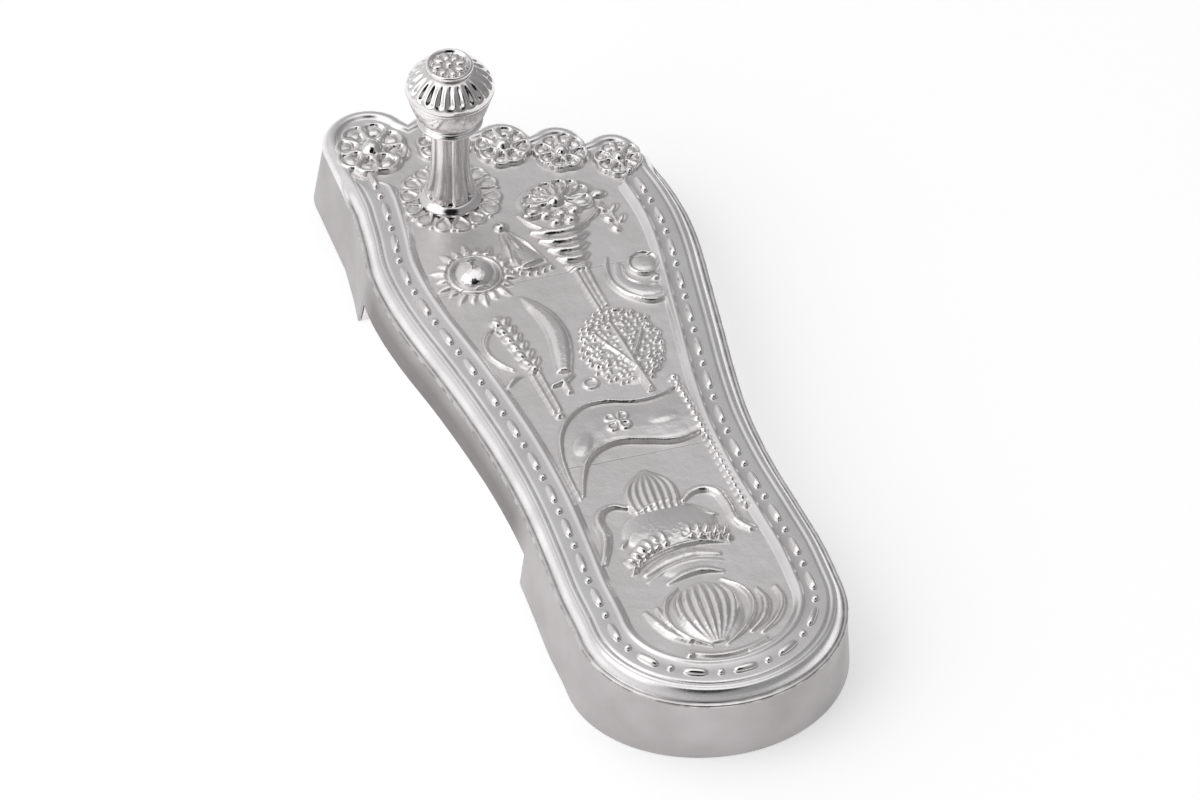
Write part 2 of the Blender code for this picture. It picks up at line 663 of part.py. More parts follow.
def build_collar(parts, origin):
    """The beaded ring under the head, its outer side in shallow scallops."""
    low = DECK + COLLAR_HEIGHT
    inner = STEM_RADIUS + CLEARANCE
    bead = 0.12 * COLLAR_RADIUS
    levels = (
        (low, inner, 0.0, COLLAR_BEADS),
        (low, 0.90 * COLLAR_RADIUS, 0.4 * bead, COLLAR_BEADS),
        (low + 0.5 * COLLAR_THICKNESS, COLLAR_RADIUS, bead, COLLAR_BEADS),
        (low + COLLAR_THICKNESS, 0.90 * COLLAR_RADIUS, 0.4 * bead, COLLAR_BEADS),
        (low + COLLAR_THICKNESS, inner, 0.0, COLLAR_BEADS),
    )
    form = bmesh.new()
    rings = lobed_rings(form, levels, 2 * COLLAR_BEADS, knob_place())
    bridge_rings(form, [rings[-1], rings[0]])
    mesh = mesh_from(form, "knob_collar")
    add_object("knob_collar", mesh, parts, silver("collar_silver", 0.22, 0.88), origin)


def head_levels():
    """Heights of the bowl's foot, the head's widest ring and the crown."""
    foot = DECK + COLLAR_HEIGHT + COLLAR_THICKNESS + CLEARANCE
    widest = foot + BOWL_HEIGHT
    return foot, widest, widest + CLEARANCE + CAP_HEIGHT


def build_bowl(parts, origin):
    """The plain cup under the head, open to the cap above and to the stem below."""
    foot, widest, _ = head_levels()
    neck = STEM_RADIUS + CLEARANCE
    profile = [
        (HEAD_RADIUS, widest),
        (HEAD_RADIUS, foot + 0.92 * BOWL_HEIGHT),
        (0.98 * HEAD_RADIUS, foot + 0.70 * BOWL_HEIGHT),
        (0.90 * HEAD_RADIUS, foot + 0.40 * BOWL_HEIGHT),
        (0.76 * HEAD_RADIUS, foot + 0.10 * BOWL_HEIGHT),
        (0.70 * HEAD_RADIUS, foot),
        (neck, foot),
    ]
    bowl = turned("knob_bowl", profile, TURNED_STEPS, knob_place(), parts, silver("bowl_silver", 0.25, 0.86), origin)
    solidify(bowl, SHEET)


def build_cap(parts, origin):
    """The fluted dome, open under the medallion."""
    _, widest, crown = head_levels()
    low = widest + CLEARANCE
    span = crown - low
    levels = (
        (low, HEAD_RADIUS, 0.0, CAP_FLUTES),
        (low + 0.08 * span, HEAD_RADIUS, 0.0, CAP_FLUTES),
        (low + 0.20 * span, 0.98 * HEAD_RADIUS, FLUTE_DEPTH, CAP_FLUTES),
        (low + 0.58 * span, 0.84 * HEAD_RADIUS, FLUTE_DEPTH, CAP_FLUTES),
        (low + 0.90 * span, 0.62 * HEAD_RADIUS, 0.4 * FLUTE_DEPTH, CAP_FLUTES),
        (crown, 0.74 * MEDALLION_RADIUS, 0.0, CAP_FLUTES),
    )
    form = bmesh.new()
    lobed_rings(form, levels, 2 * CAP_FLUTES, knob_place())
    mesh = mesh_from(form, "knob_cap")
    cap = add_object("knob_cap", mesh, parts, silver("cap_silver", 0.22, 0.88), origin)
    solidify(cap, SHEET)


def build_medallion(parts, origin):
    """The round flower in the crown: a rimmed disc with eight lobes and a raised heart."""
    _, _, crown = head_levels()
    low = crown + CLEARANCE
    rise = MEDALLION_HEIGHT
    edge = MEDALLION_RADIUS
    levels = (
        (low, 0.94 * edge, 0.0, FLOWER_PETALS),
        (low + 0.22 * rise, edge, 0.0, FLOWER_PETALS),
        (low + 0.50 * rise, 0.90 * edge, 0.0, FLOWER_PETALS),
        (low + 0.25 * rise, 0.80 * edge, 0.0, FLOWER_PETALS),
        (low + 0.75 * rise, 0.70 * edge, 0.16 * edge, FLOWER_PETALS),
        (low + 0.55 * rise, 0.30 * edge, 0.06 * edge, FLOWER_PETALS),
        (low + 1.00 * rise, 0.14 * edge, 0.0, FLOWER_PETALS),
    )
    form = bmesh.new()
    rings = lobed_rings(form, levels, 3 * FLOWER_PETALS, knob_place())
    form.faces.new(rings[0])
    form.faces.new(rings[-1])
    mesh = mesh_from(form, "knob_medallion")
    add_object("knob_medallion", mesh, parts, silver("medallion_silver", 0.22, 0.88), origin)


def main():
    reset_scene()
    parts = collection("paduka_toe_knob_sandal")
    cutters = collection("cutters")
    rims = rim_points()
    origin = sandal_centre(rims)
    build_top_plate(rims, parts, cutters, origin)
    build_side_wall(rims, parts, origin)
    build_sole_plate(rims, parts, origin)
    build_foot_ring(parts, origin)
    build_stem(parts, origin)
    build_collar(parts, origin)
    build_bowl(parts, origin)
    build_cap(parts, origin)
    build_medallion(parts, origin)


main()
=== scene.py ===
# Looks of the silver toe knob sandal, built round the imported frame.
# Metres, +Z up, toes towards +Y. Lengths in the dictionaries are millimetres, and patterns are per metre.
import json
import math
import random

import bpy
from mathutils import Matrix, Vector

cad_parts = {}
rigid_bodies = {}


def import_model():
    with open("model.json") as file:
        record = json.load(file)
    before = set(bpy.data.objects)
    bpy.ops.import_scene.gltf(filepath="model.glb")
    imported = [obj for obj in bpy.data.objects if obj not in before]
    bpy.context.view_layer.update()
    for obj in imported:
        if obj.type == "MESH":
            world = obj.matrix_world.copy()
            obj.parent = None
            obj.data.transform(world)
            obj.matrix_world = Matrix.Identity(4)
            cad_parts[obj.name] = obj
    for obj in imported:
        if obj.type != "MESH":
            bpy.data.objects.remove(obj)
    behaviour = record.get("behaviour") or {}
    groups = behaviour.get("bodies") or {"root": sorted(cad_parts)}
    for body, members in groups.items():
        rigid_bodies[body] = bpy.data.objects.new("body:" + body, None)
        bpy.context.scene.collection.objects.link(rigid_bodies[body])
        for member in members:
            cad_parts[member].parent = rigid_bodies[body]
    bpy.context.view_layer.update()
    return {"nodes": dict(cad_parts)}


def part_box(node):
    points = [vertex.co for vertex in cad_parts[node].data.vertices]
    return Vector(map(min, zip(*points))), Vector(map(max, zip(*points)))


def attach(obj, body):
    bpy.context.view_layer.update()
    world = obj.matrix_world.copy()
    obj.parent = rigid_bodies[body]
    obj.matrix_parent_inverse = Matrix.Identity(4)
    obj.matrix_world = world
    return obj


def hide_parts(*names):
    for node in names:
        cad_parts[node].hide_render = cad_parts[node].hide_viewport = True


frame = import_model()
print("frame loaded")

mm = 0.001

# The last. Sections: share of the body, width, and the medial and lateral shares of that width.
# Toes: across, back from the tip of the last, and radius, as shares of the ball's width; then the flower's
# offset to the side and back and its radius, as shares of the toe's radius.
last = {
    "length": 250.0, "ball": 93.4, "waist": 71.8, "heel": 74.0,
    "heelRound": 0.46, "toeBlock": 0.44, "stationPitch": 1.25, "heelSteps": 84, "toeStep": 6.5,
    "littleToeStart": -8.0,
    "sections": [
        (0.000, "heel", 0.389, 0.611), (0.086, "heel", 0.400, 0.608), (0.171, "heel", 0.400, 0.587),
        (0.280, "waist", 0.418, 0.575), (0.383, "waist", 0.440, 0.566), (0.480, "waist", 0.476, 0.581),
        (0.589, "ball", 0.405, 0.470), (0.703, "ball", 0.454, 0.494), (0.783, "ball", 0.479, 0.510),
        (0.857, "ball", 0.487, 0.513), (0.931, "ball", 0.473, 0.498), (1.000, "ball", 0.464, 0.469)],
    "toes": [
        (-0.337, 0.141, 0.141, -0.04, 0.38, 0.77), (-0.121, 0.173, 0.109, -0.02, 0.54, 0.73),
        (0.049, 0.267, 0.098, 0.00, 0.25, 0.84), (0.209, 0.323, 0.092, 0.06, 0.47, 0.86),
        (0.364, 0.398, 0.090, 0.12, 0.48, 0.79)],
    "rimFade": 0.105, "rimEndMedial": 0.335, "rimEndLateral": 0.480,
    "heelStep": 0.243, "frontStep": 0.880, "stepRun": 0.8, "archBack": 10.0, "archFront": 8.5,
    "flareMedial": 3.0, "flareLateral": 1.5, "flareToe": 1.2,
}
heelRound = last["heelRound"] * last["heel"]
ballLine = last["length"] - last["toeBlock"] * last["ball"]
deck = {"border": 24.0, "lip": 20.0, "field": 22.8}
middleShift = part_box("top_plate")[0].x / mm + max(row[2] * last[row[1]] for row in last["sections"])
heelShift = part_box("top_plate")[0].y / mm
plateOrigin = 121.0                      # from the back of the heel to the origin of the plate's drawing


def smoothStep(value):
    value = min(1.0, max(0.0, value))
    return value * value * (3.0 - 2.0 * value)


def lastPoint(across, along, height=0.0):
    return Vector(((across + middleShift) * mm, (along + heelShift) * mm, height * mm))


def platePoint(x, y, lift=0.0):          # the plate's drawing, lift over the recessed field
    return lastPoint(x, y + plateOrigin, deck["field"] + lift)


def alongBody(share):
    return heelRound + share * (ballLine - heelRound)


def sideLine(side, distance):
    knots = [(alongBody(row[0]), last[row[1]] * row[side]) for row in last["sections"]]
    slopes = []
    for index in range(len(knots)):
        before, after = knots[max(0, index - 1)], knots[min(len(knots) - 1, index + 1)]
        slopes.append((after[1] - before[1]) / (after[0] - before[0]))
    slopes[0] = 0.0
    index = 0
    while index < len(knots) - 2 and distance > knots[index + 1][0]:
        index += 1
    (start, low), (end, high) = knots[index], knots[index + 1]
    span = end - start
    t = (distance - start) / span
    return (low * (2 * t ** 3 - 3 * t ** 2 + 1) + high * (3 * t ** 2 - 2 * t ** 3)
            + slopes[index] * span * (t ** 3 - 2 * t ** 2 + t) + slopes[index + 1] * span * (t ** 3 - t ** 2))


def toeCircle(toe):
    return Vector((toe[0] * last["ball"], last["length"] - toe[1] * last["ball"])), toe[2] * last["ball"]


def toeValley(first, second):
    (centreA, radiusA), (centreB, radiusB) = toeCircle(first), toeCircle(second)
    along = centreB - centreA
    reach = along.length
    along.normalize()
    offset = (radiusA ** 2 - radiusB ** 2 + reach ** 2) / (2 * reach)
    height = math.sqrt(max(0.0, radiusA ** 2 - offset ** 2))
    return centreA + along * offset + Vector((-along.y, along.x)) * height


def archHeight(distance):
    start = alongBody(last["heelStep"]) + 0.5 * last["stepRun"]
    end = alongBody(last["frontStep"]) - 0.5 * last["stepRun"]
    if distance < start or distance > end:
        return 0.0
    return last["archBack"] + (last["archFront"] - last["archBack"]) * (distance - start) / (end - start)


def outlinePlaces():                     # anticlockwise seen from above, from the side of the big toe
    toes = last["toes"]
    flankTop = last["length"] - toes[0][1] * last["ball"]
    flankSide = -(toes[0][2] - toes[0][0]) * last["ball"]
    places = []
    flankSteps = int((flankTop - ballLine) / last["stationPitch"])
    for step in range(1, flankSteps):
        share = step / flankSteps
        places.append(Vector((flankSide + (-sideLine(2, ballLine) - flankSide) * share,
                              flankTop + (ballLine - flankTop) * share)))
    heelStep, frontStep = alongBody(last["heelStep"]), alongBody(last["frontStep"])
    steps = [heelStep, heelStep + last["stepRun"], frontStep - last["stepRun"], frontStep]
    count = int((ballLine - heelRound) / last["stationPitch"])
    distances = [heelRound + (ballLine - heelRound) * index / count for index in range(count + 1)]
    distances = [place for place in distances if min(abs(place - step) for step in steps) > 0.5]
    distances = sorted(distances + steps)
    places += [Vector((-sideLine(2, place), place)) for place in reversed(distances)]
    row = last["sections"][0]
    half = 0.5 * last["heel"] * (row[3] + row[2])
    middle = 0.5 * last["heel"] * (row[3] - row[2])
    for step in range(1, last["heelSteps"]):
        angle = math.pi + math.pi * step / last["heelSteps"]
        places.append(Vector((middle + half * math.cos(angle), heelRound * (1 + math.sin(angle)))))
    places += [Vector((sideLine(3, place), place)) for place in distances]
    startAngle = math.radians(last["littleToeStart"])
    for index in range(len(toes) - 1, -1, -1):
        centre, radius = toeCircle(toes[index])
        endAngle = math.pi
        if index:
            valley = toeValley(toes[index - 1], toes[index])
            endAngle = math.atan2(valley.y - centre.y, valley.x - centre.x)
        count = max(4, math.ceil(math.degrees(endAngle - startAngle) / last["toeStep"]))
        for step in range(count):
            angle = startAngle + (endAngle - startAngle) * step / count
            places.append(centre + radius * Vector((math.cos(angle), math.sin(angle))))
        if index:
            nextCentre, _ = toeCircle(toes[index - 1])
            startAngle = math.atan2(valley.y - nextCentre.y, valley.x - nextCentre.x)
        else:
            places.append(centre + Vector((-radius, 0.0)))
    return places


def rimStations():                       # each has its place, inward direction, share of toe and arch height
    places = outlinePlaces()
    stations = []
    for index, place in enumerate(places):
        before = (place - places[index - 1]).normalized()
        after = (places[(index + 1) % len(places)] - place).normalized()
        heading = (before + after).normalized()
        end = last["rimEndMedial"] if place.x < 0.0 else last["rimEndLateral"]
        toeStart = last["length"] - end * last["ball"]
        stations.append({
            "place": place, "inward": Vector((-heading.y, heading.x)), "clear": archHeight(place.y),
            "toe": smoothStep((place.y - toeStart) / (last["rimFade"] * last["ball"]) + 0.5)})
    return stations


stations = rimStations()
print("outline has", len(stations), "stations")


class Wire:                              # a socket that shader maths can be written with
    def __init__(self, tree, socket):
        self.tree, self.socket = tree, socket

    def maths(self, operation, first, second=0.0):
        node = self.tree.nodes.new("ShaderNodeMath")
        node.operation = operation
        for slotIndex, value in enumerate((first, second)):
            if isinstance(value, Wire):
                self.tree.links.new(value.socket, node.inputs[slotIndex])
            else:
                node.inputs[slotIndex].default_value = value
        return Wire(self.tree, node.outputs[0])

    def __add__(self, other):
        return self.maths("ADD", self, other)

    def __radd__(self, other):
        return self.maths("ADD", other, self)

    def __sub__(self, other):
        return self.maths("SUBTRACT", self, other)

    def __rsub__(self, other):
        return self.maths("SUBTRACT", other, self)

    def __mul__(self, other):
        return self.maths("MULTIPLY", self, other)

    def __rmul__(self, other):
        return self.maths("MULTIPLY", other, self)

    def __truediv__(self, other):
        return self.maths("DIVIDE", self, other)

    def smaller(self, other):
        return self.maths("MINIMUM", self, other)

    def larger(self, other):
        return self.maths("MAXIMUM", self, other)

    def between(self, low, high):        # 0 at low, 1 at high, clamped
        return ((self - low) / (high - low)).larger(0.0).smaller(1.0)


class Finish:                            # one material and the nodes in it
    def __init__(self, name):
        self.material = bpy.data.materials.new(name)
        self.material.use_nodes = True
        self.tree = self.material.node_tree
        self.shader = self.tree.nodes["Principled BSDF"]

    def node(self, kind, settings=None, sockets=None, output=0):
        node = self.tree.nodes.new(kind)
        for key, value in (settings or {}).items():
            setattr(node, key, value)
        for key, value in (sockets or {}).items():
            if isinstance(value, Wire):
                self.tree.links.new(value.socket, node.inputs[key])
            else:
                node.inputs[key].default_value = value
        return Wire(self.tree, node.outputs[output])

    def mix(self, factor, first, second):
        colours = [value if isinstance(value, Wire) else (*value, 1.0) for value in (first, second)]
        sockets = {0: factor, 6: colours[0], 7: colours[1]}
        return self.node("ShaderNodeMix", {"data_type": "RGBA"}, sockets, output=2)

    def feed(self, name, value):
        if isinstance(value, Wire):
            self.tree.links.new(value.socket, self.shader.inputs[name])
        else:
            self.shader.inputs[name].default_value = value

    def places(self, scale=(1.0, 1.0, 1.0)):
        where = self.node("ShaderNodeTexCoord", output=3)
        return self.node("ShaderNodeMapping", sockets={"Vector": where, "Scale": scale})

    def axis(self, index):               # one of the three object coordinates
        return self.node("ShaderNodeSeparateXYZ", sockets={"Vector": self.places()}, output=index)

    def hollows(self, tarnish):          # 1 where the surface is hollow
        return self.node("ShaderNodeNewGeometry", output=7).between(tarnish["open"], tarnish["deep"])

    def noise(self, where, scale, detail=3.0, roughness=0.55):
        return self.node("ShaderNodeTexNoise", sockets={
            "Vector": where, "Scale": scale, "Detail": detail, "Roughness": roughness})

    def bump(self, height, distance, strength=1.0, normal=None):
        sockets = {"Height": height, "Distance": distance, "Strength": strength}
        if normal:
            sockets["Normal"] = normal
        return self.node("ShaderNodeBump", sockets=sockets)


silverTone = {"bright": (0.89, 0.869, 0.869), "worn": (0.81, 0.785, 0.783), "tarnish": (0.50, 0.468, 0.455)}
cloudWorn, cloudRough = (0.35, 0.7), (0.3, 0.75)     # where the clouds start and end


def silverFinish(name, gloss, grain, cloud, tarnish, tone=silverTone, shade=None):
    finish = Finish(name)
    clouds = finish.noise(finish.places(), cloud["scale"], 4.0)
    scratches = finish.noise(finish.places(grain["stretch"]), grain["scale"], 6.0, 0.7)
    worn = finish.mix(clouds.between(*cloudWorn), tone["bright"], tone["worn"])
    colour = finish.mix(finish.hollows(tarnish) * tarnish["strength"], worn, tone["tarnish"])
    if shade:
        colour = finish.mix(shade(finish), colour, tone["shade"])
    finish.feed("Base Color", colour)
    finish.feed("Metallic", 1.0)
    finish.feed("Roughness", gloss["low"] + (gloss["high"] - gloss["low"]) * clouds.between(*cloudRough)
                + scratches * grain["rough"])
    finish.feed("Normal", finish.bump(scratches, grain["depth"] * mm))
    return finish.material


plateLook = {                            # satin stippled ground, polished and dented relief
    "ground": 0.34, "groundCloud": 0.08, "polish": 0.08, "low": 0.2, "high": 1.7, "cloud": 60.0,
    "pebble": 1500.0, "pebbleDepth": 0.06, "dent": 700.0, "dentDepth": 0.16, "dentGround": 0.2,
    "wave": 130.0, "waveDepth": 0.30, "scratch": 2600.0, "scratchRough": 0.04, "scratchDepth": 0.008,
    "tarnish": {"open": 0.50, "deep": 0.44, "strength": 0.6},
}


def plateFinish():
    look = plateLook
    finish = Finish("embossedSilver")
    where = finish.places()
    raised = finish.axis(2).between((deck["field"] + look["low"]) * mm, (deck["field"] + look["high"]) * mm)
    clouds = finish.noise(where, look["cloud"], 4.0)
    scratches = finish.noise(finish.places((1.0, 0.15, 1.0)), look["scratch"], 3.0)
    worn = finish.mix(clouds.between(*cloudWorn), silverTone["bright"], silverTone["worn"])
    dirt = finish.hollows(look["tarnish"]) * look["tarnish"]["strength"]
    finish.feed("Base Color", finish.mix(dirt, worn, silverTone["tarnish"]))
    finish.feed("Metallic", 1.0)
    satin = look["ground"] + clouds * look["groundCloud"]
    finish.feed("Roughness", satin + raised * (look["polish"] - satin) + scratches * look["scratchRough"])
    waves = finish.bump(finish.noise(where, look["wave"], 2.0), look["waveDepth"] * mm)
    dents = finish.noise(where, look["dent"], 2.0) * (look["dentGround"] + (1 - look["dentGround"]) * raised)
    beaten = finish.bump(dents, look["dentDepth"] * mm, 1.0, waves)
    pebbles = finish.noise(where, look["pebble"], 2.0) * (1 - raised)
    pitted = finish.bump(pebbles, look["pebbleDepth"] * mm, 1.0, beaten)
    finish.feed("Normal", finish.bump(scratches, look["scratchDepth"] * mm, 1.0, pitted))
    return finish.material


def selectNone():
    if bpy.context.mode != "OBJECT":
        bpy.ops.object.mode_set(mode="OBJECT")
    bpy.ops.object.select_all(action="DESELECT")


def makeActive(piece):
    selectNone()
    piece.select_set(True)
    bpy.context.view_layer.objects.active = piece


def editNone(piece, kind):               # edit mode, set to verts, edges or faces, with nothing selected
    makeActive(piece)
    bpy.ops.object.mode_set(mode="EDIT")
    bpy.context.tool_settings.mesh_select_mode = [kind == each for each in ("verts", "edges", "faces")]
    bpy.ops.mesh.select_all(action="DESELECT")


def selectWanted(piece, kind, wanted):   # leaves the piece in edit mode
    editNone(piece, kind)
    bpy.ops.object.mode_set(mode="OBJECT")
    for item in piece.data.vertices if kind == "verts" else piece.data.polygons:
        item.select = wanted(item)
    bpy.ops.object.mode_set(mode="EDIT")


def faceOutward():                       # the piece in edit mode
    bpy.ops.mesh.select_all(action="SELECT")
    bpy.ops.mesh.normals_make_consistent(inside=False)
    selectNone()


def applyAll(piece):                     # modifiers and place go into the mesh
    makeActive(piece)
    for modifier in list(piece.modifiers):
        bpy.ops.object.modifier_apply(modifier=modifier.name)
    bpy.ops.object.transform_apply(location=True, rotation=True, scale=True)


def joinPieces(pieces, name):
    selectNone()
    for piece in pieces:
        piece.select_set(True)
    bpy.context.view_layer.objects.active = pieces[0]
    bpy.ops.object.convert(target="MESH")
    if len(pieces) > 1:
        bpy.ops.object.join()
    whole = bpy.context.view_layer.objects.active
    whole.name = whole.data.name = name
    bpy.ops.object.transform_apply(location=True, rotation=True, scale=True)
    return whole


def finishPiece(piece, name, material, nodes, smoothAngle=None):
    applyAll(piece)
    piece.name = piece.data.name = name
    piece.data.materials.clear()
    piece.data.materials.append(material)
    if smoothAngle:
        bpy.ops.object.shade_smooth_by_angle(angle=math.radians(smoothAngle))
    else:
        bpy.ops.object.shade_smooth()
    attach(piece, "root")
    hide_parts(*nodes)
    selectNone()
    return piece


def meshPiece(name, verts, faces, edges=()):
    mesh = bpy.data.meshes.new(name)
    mesh.from_pydata(verts, edges, faces)
    piece = bpy.data.objects.new(name, mesh)
    bpy.context.scene.collection.objects.link(piece)
    return piece


def sweepRings(name, rings):             # a closed section carried round the outline
    verts, faces = [], []
    count = len(rings[0])
    for ring in rings:
        verts += ring
    for level in range(len(rings)):
        above = (level + 1) % len(rings)
        for index in range(count):
            after = (index + 1) % count
            faces.append((level * count + index, level * count + after,
                          above * count + after, above * count + index))
    piece = meshPiece(name, verts, faces)
    makeActive(piece)
    bpy.ops.object.mode_set(mode="EDIT")
    faceOutward()
    return piece


# The rim, from the lip inwards: inset and height over the border, along the sides and then round the toes
rim = {
    "rows": [
        (0.35, -4.55, 0.35, -4.55), (-0.05, -4.45, -0.05, -4.45), (-0.30, -4.15, -0.22, -4.10),
        (-0.30, -3.80, -0.26, -3.60), (-0.05, -3.52, -0.16, -3.00), (0.35, -3.42, 0.02, -2.45),
        (0.70, -3.55, 0.26, -1.95), (0.85, -3.66, 0.50, -1.58), (1.05, -3.50, 0.80, -1.20),
        (1.35, -2.95, 1.15, -0.88), (1.70, -2.20, 1.55, -0.60), (2.05, -1.55, 2.00, -0.38),
        (2.40, -1.02, 2.40, -0.26), (2.80, -0.58, 2.80, -0.20), (3.20, -0.28, 3.15, -0.22),
        (3.38, -0.36, 3.30, -0.26), (3.55, -0.16, 3.45, -0.30), (3.95, -0.01, 3.60, -0.38),
        (4.25, -0.02, 3.75, -0.48), (4.50, -0.16, 3.85, -0.58), (4.72, -0.42, 3.95, -0.68),
        (4.90, -0.50, 4.05, -0.78), (5.10, -0.34, 4.15, -0.86), (5.35, -0.06, 4.25, -0.94),
        (5.80, 0.00, 4.35, -1.00), (8.50, 0.00, 4.45, -1.06), (11.30, 0.00, 4.55, -1.12),
        (11.65, 0.12, 4.65, -1.18), (12.00, 0.44, 4.75, -1.24), (12.35, 0.60, 4.85, -1.30),
        (12.75, 0.52, 4.95, -1.36), (13.20, 0.16, 5.05, -1.42), (13.70, -0.40, 5.15, -1.48),
        (14.20, -0.90, 5.25, -1.54), (14.80, -1.26, 5.35, -1.58), (15.40, -1.42, 5.45, -1.62)],
    "under": [(14.6, -2.4, 5.3, -2.4), (11.8, -0.9, 4.6, -2.2), (5.5, -0.9, 4.0, -1.9),
              (2.6, -2.0, 2.4, -1.4), (1.2, -4.2, 1.2, -2.6), (0.8, -4.55, 0.8, -4.55)],
    # joint: the heights between which painted shade darkens the rim where it meets the wall; spots of dirt
    # darken it further
    "joint": (-3.42, -3.66), "dirt": 260.0, "dirtEdge": (0.42, 0.6), "shadeLeast": 0.35, "dirtMore": 0.5,
}
rimLook = {
    "tone": {"bright": (0.95, 0.935, 0.938), "worn": (0.80, 0.78, 0.783), "tarnish": (0.46, 0.435, 0.425),
             "shade": (0.24, 0.22, 0.21)},
    "gloss": {"low": 0.18, "high": 0.30}, "cloud": {"scale": 70.0},
    "grain": {"stretch": (1.0, 0.2, 1.0), "scale": 2400.0, "rough": 0.08, "depth": 0.02},
    "tarnish": {"open": 0.50, "deep": 0.42, "strength": 0.75},
}


def rimRing(row):
    ring = []
    for station in stations:
        share = station["toe"]
        inset = row[0] + (row[2] - row[0]) * share
        height = row[1] + (row[3] - row[1]) * share
        place = station["place"] + station["inward"] * inset
        ring.append(lastPoint(place.x, place.y, deck["border"] + height))
    return ring


def jointShade(finish):                  # painted shade in the joint between the plate and the wall, with spots of dirt in it
    top, bottom = ((deck["border"] + height) * mm for height in rim["joint"])
    spots = finish.noise(finish.places(), rim["dirt"], 3.0).between(*rim["dirtEdge"])
    return finish.axis(2).between(top, bottom) * (rim["shadeLeast"] + rim["dirtMore"] * spots)


def makeRim():
    piece = sweepRings("plateRim", [rimRing(row) for row in rim["rows"] + rim["under"]])
    material = silverFinish("rimSilver", shade=jointShade, **rimLook)
    finishPiece(piece, "plateRim", material, ["top_plate"])


# The side wall. Foot: inset and lift round the lower edge. Dark: painted shade under the arch, its run-in at
# each end of the arch and the heights between which it fades
wall = {
    "sheet": 0.8, "top": 19.75, "tuck": 0.05, "round": 0.55, "levels": 9, "inner": 2.0,
    "foot": ((0.10, 0.18), (0.30, 0.03), (0.55, 0.0), (0.8, 0.1)),
    "shade": 0.80, "darkBack": 12.0, "darkFront": 10.0, "darkBelow": 14.2, "darkAbove": 21.2,
}
wallLook = {
    # the wall's tones are painted shade: darker than the plate's silver, for the darker surroundings the wall
    # reflects
    "tone": {"bright": (0.53, 0.508, 0.513), "worn": (0.44, 0.42, 0.423), "tarnish": (0.30, 0.285, 0.28),
             "shade": (0.20, 0.185, 0.18)},
    "gloss": {"low": 0.34, "high": 0.44}, "cloud": {"scale": 45.0},
    "grain": {"stretch": (1.0, 1.0, 1.0), "scale": 1500.0, "rough": 0.06, "depth": 0.03},
    "tarnish": {"open": 0.49, "deep": 0.40, "strength": 0.5},
}


def wallPoint(station, height, inset):
    outward = -station["inward"]
    side = last["flareMedial"] if outward.x < 0.0 else last["flareLateral"]
    lean = side * outward.x ** 2 + last["flareToe"] * max(0.0, outward.y)
    depth = (deck["lip"] - height) / deck["lip"]
    place = station["place"] + outward * (lean * depth - inset)
    return lastPoint(place.x, place.y, height)


def archPaintedShade(finish):                   # painted shade: the wall under the arch is darkened, most towards its lower edge
    along = finish.axis(1)
    start, end = (lastPoint(0.0, alongBody(last[key])).y for key in ("heelStep", "frontStep"))
    arch = along.between(start, start + wall["darkBack"] * mm) * (
        1 - along.between(end - wall["darkFront"] * mm, end))
    below = 1 - finish.axis(2).between(wall["darkBelow"] * mm, wall["darkAbove"] * mm)
    return arch * below * wall["shade"]


def wallRing(lift, inset, share=0.0):    # share of the way up from the lower edge to the top
    ring = []
    for station in stations:
        low = station["clear"] + lift
        ring.append(wallPoint(station, low + (wall["top"] - low) * share, inset))
    return ring


def makeWall():
    levels = wall["levels"]
    rings = [wallRing(0.0, wall["sheet"], 1.0), wallRing(0.0, wall["tuck"], 1.0)]
    rings += [wallRing(wall["round"], 0.0, 1.0 - (level + 1) / levels) for level in range(levels)]
    rings += [wallRing(lift, inset) for inset, lift in wall["foot"]]
    rings.append(wallRing(wall["inner"], wall["sheet"]))
    piece = sweepRings("sideWall", rings)
    material = silverFinish("satinSilver", shade=archPaintedShade, **wallLook)
    finishPiece(piece, "sideWall", material, ["side_wall"], 50)


makeRim()
makeWall()
print("rim and wall made")


# Punches: the raised forms that the sheet is pressed over
punches = []
hand = random.Random(11)                 # beaten by hand, no two strokes are quite alike


def about(value, share):
    return value * hand.uniform(1.0 - share, 1.0 + share)


def dome(x, y, wide, long, rise, turn=0.0, sides=24):
    bpy.ops.mesh.primitive_uv_sphere_add(
        segments=sides, ring_count=max(8, sides // 2), radius=mm, location=platePoint(x, y),
        rotation=(0.0, 0.0, math.radians(turn)), scale=(wide, long, rise))
    punches.append(bpy.context.object)


def stroke(rows, rise, closed=False):
    # rows are x, y and half width; the cord is flattened so that its widest place stands as high as rise
    curve = bpy.data.curves.new("stroke", "CURVE")
    curve.dimensions = "3D"
    curve.bevel_depth = mm
    curve.bevel_resolution = 3
    curve.resolution_u = 7
    curve.use_fill_caps = True
    line = curve.splines.new("BEZIER")
    line.bezier_points.add(len(rows) - 1)
    line.use_cyclic_u = closed
    for point, (x, y, half) in zip(line.bezier_points, rows):
        point.co = platePoint(x, y) - platePoint(0.0, 0.0)
        point.handle_left_type = point.handle_right_type = "AUTO"
        point.radius = half
    piece = bpy.data.objects.new("stroke", curve)
    bpy.context.scene.collection.objects.link(piece)
    piece.location = platePoint(0.0, 0.0)
    piece.scale = (1.0, 1.0, rise / max(row[2] for row in rows))
    punches.append(piece)


strokeEnd = 0.45                         # share of the width at both ends, where the tool lifts


def evenStroke(points, half, rise):
    ends = (0, len(points) - 1)
    stroke([(x, y, half * (strokeEnd if index in ends else 1.0)) for index, (x, y) in enumerate(points)], rise)


def ringStroke(x, y, radius, half, rise, count=12):
    angles = [2 * math.pi * step / count for step in range(count)]
    rows = [(x + radius * math.cos(angle), y + radius * math.sin(angle), half) for angle in angles]
    stroke(rows, rise, closed=True)


def turned(x, y, turn, centreX, centreY):  # a point of a petal's own drawing, turned about a centre
    angle = math.radians(turn)
    return (centreX + x * math.cos(angle) - y * math.sin(angle),
            centreY + x * math.sin(angle) + y * math.cos(angle))


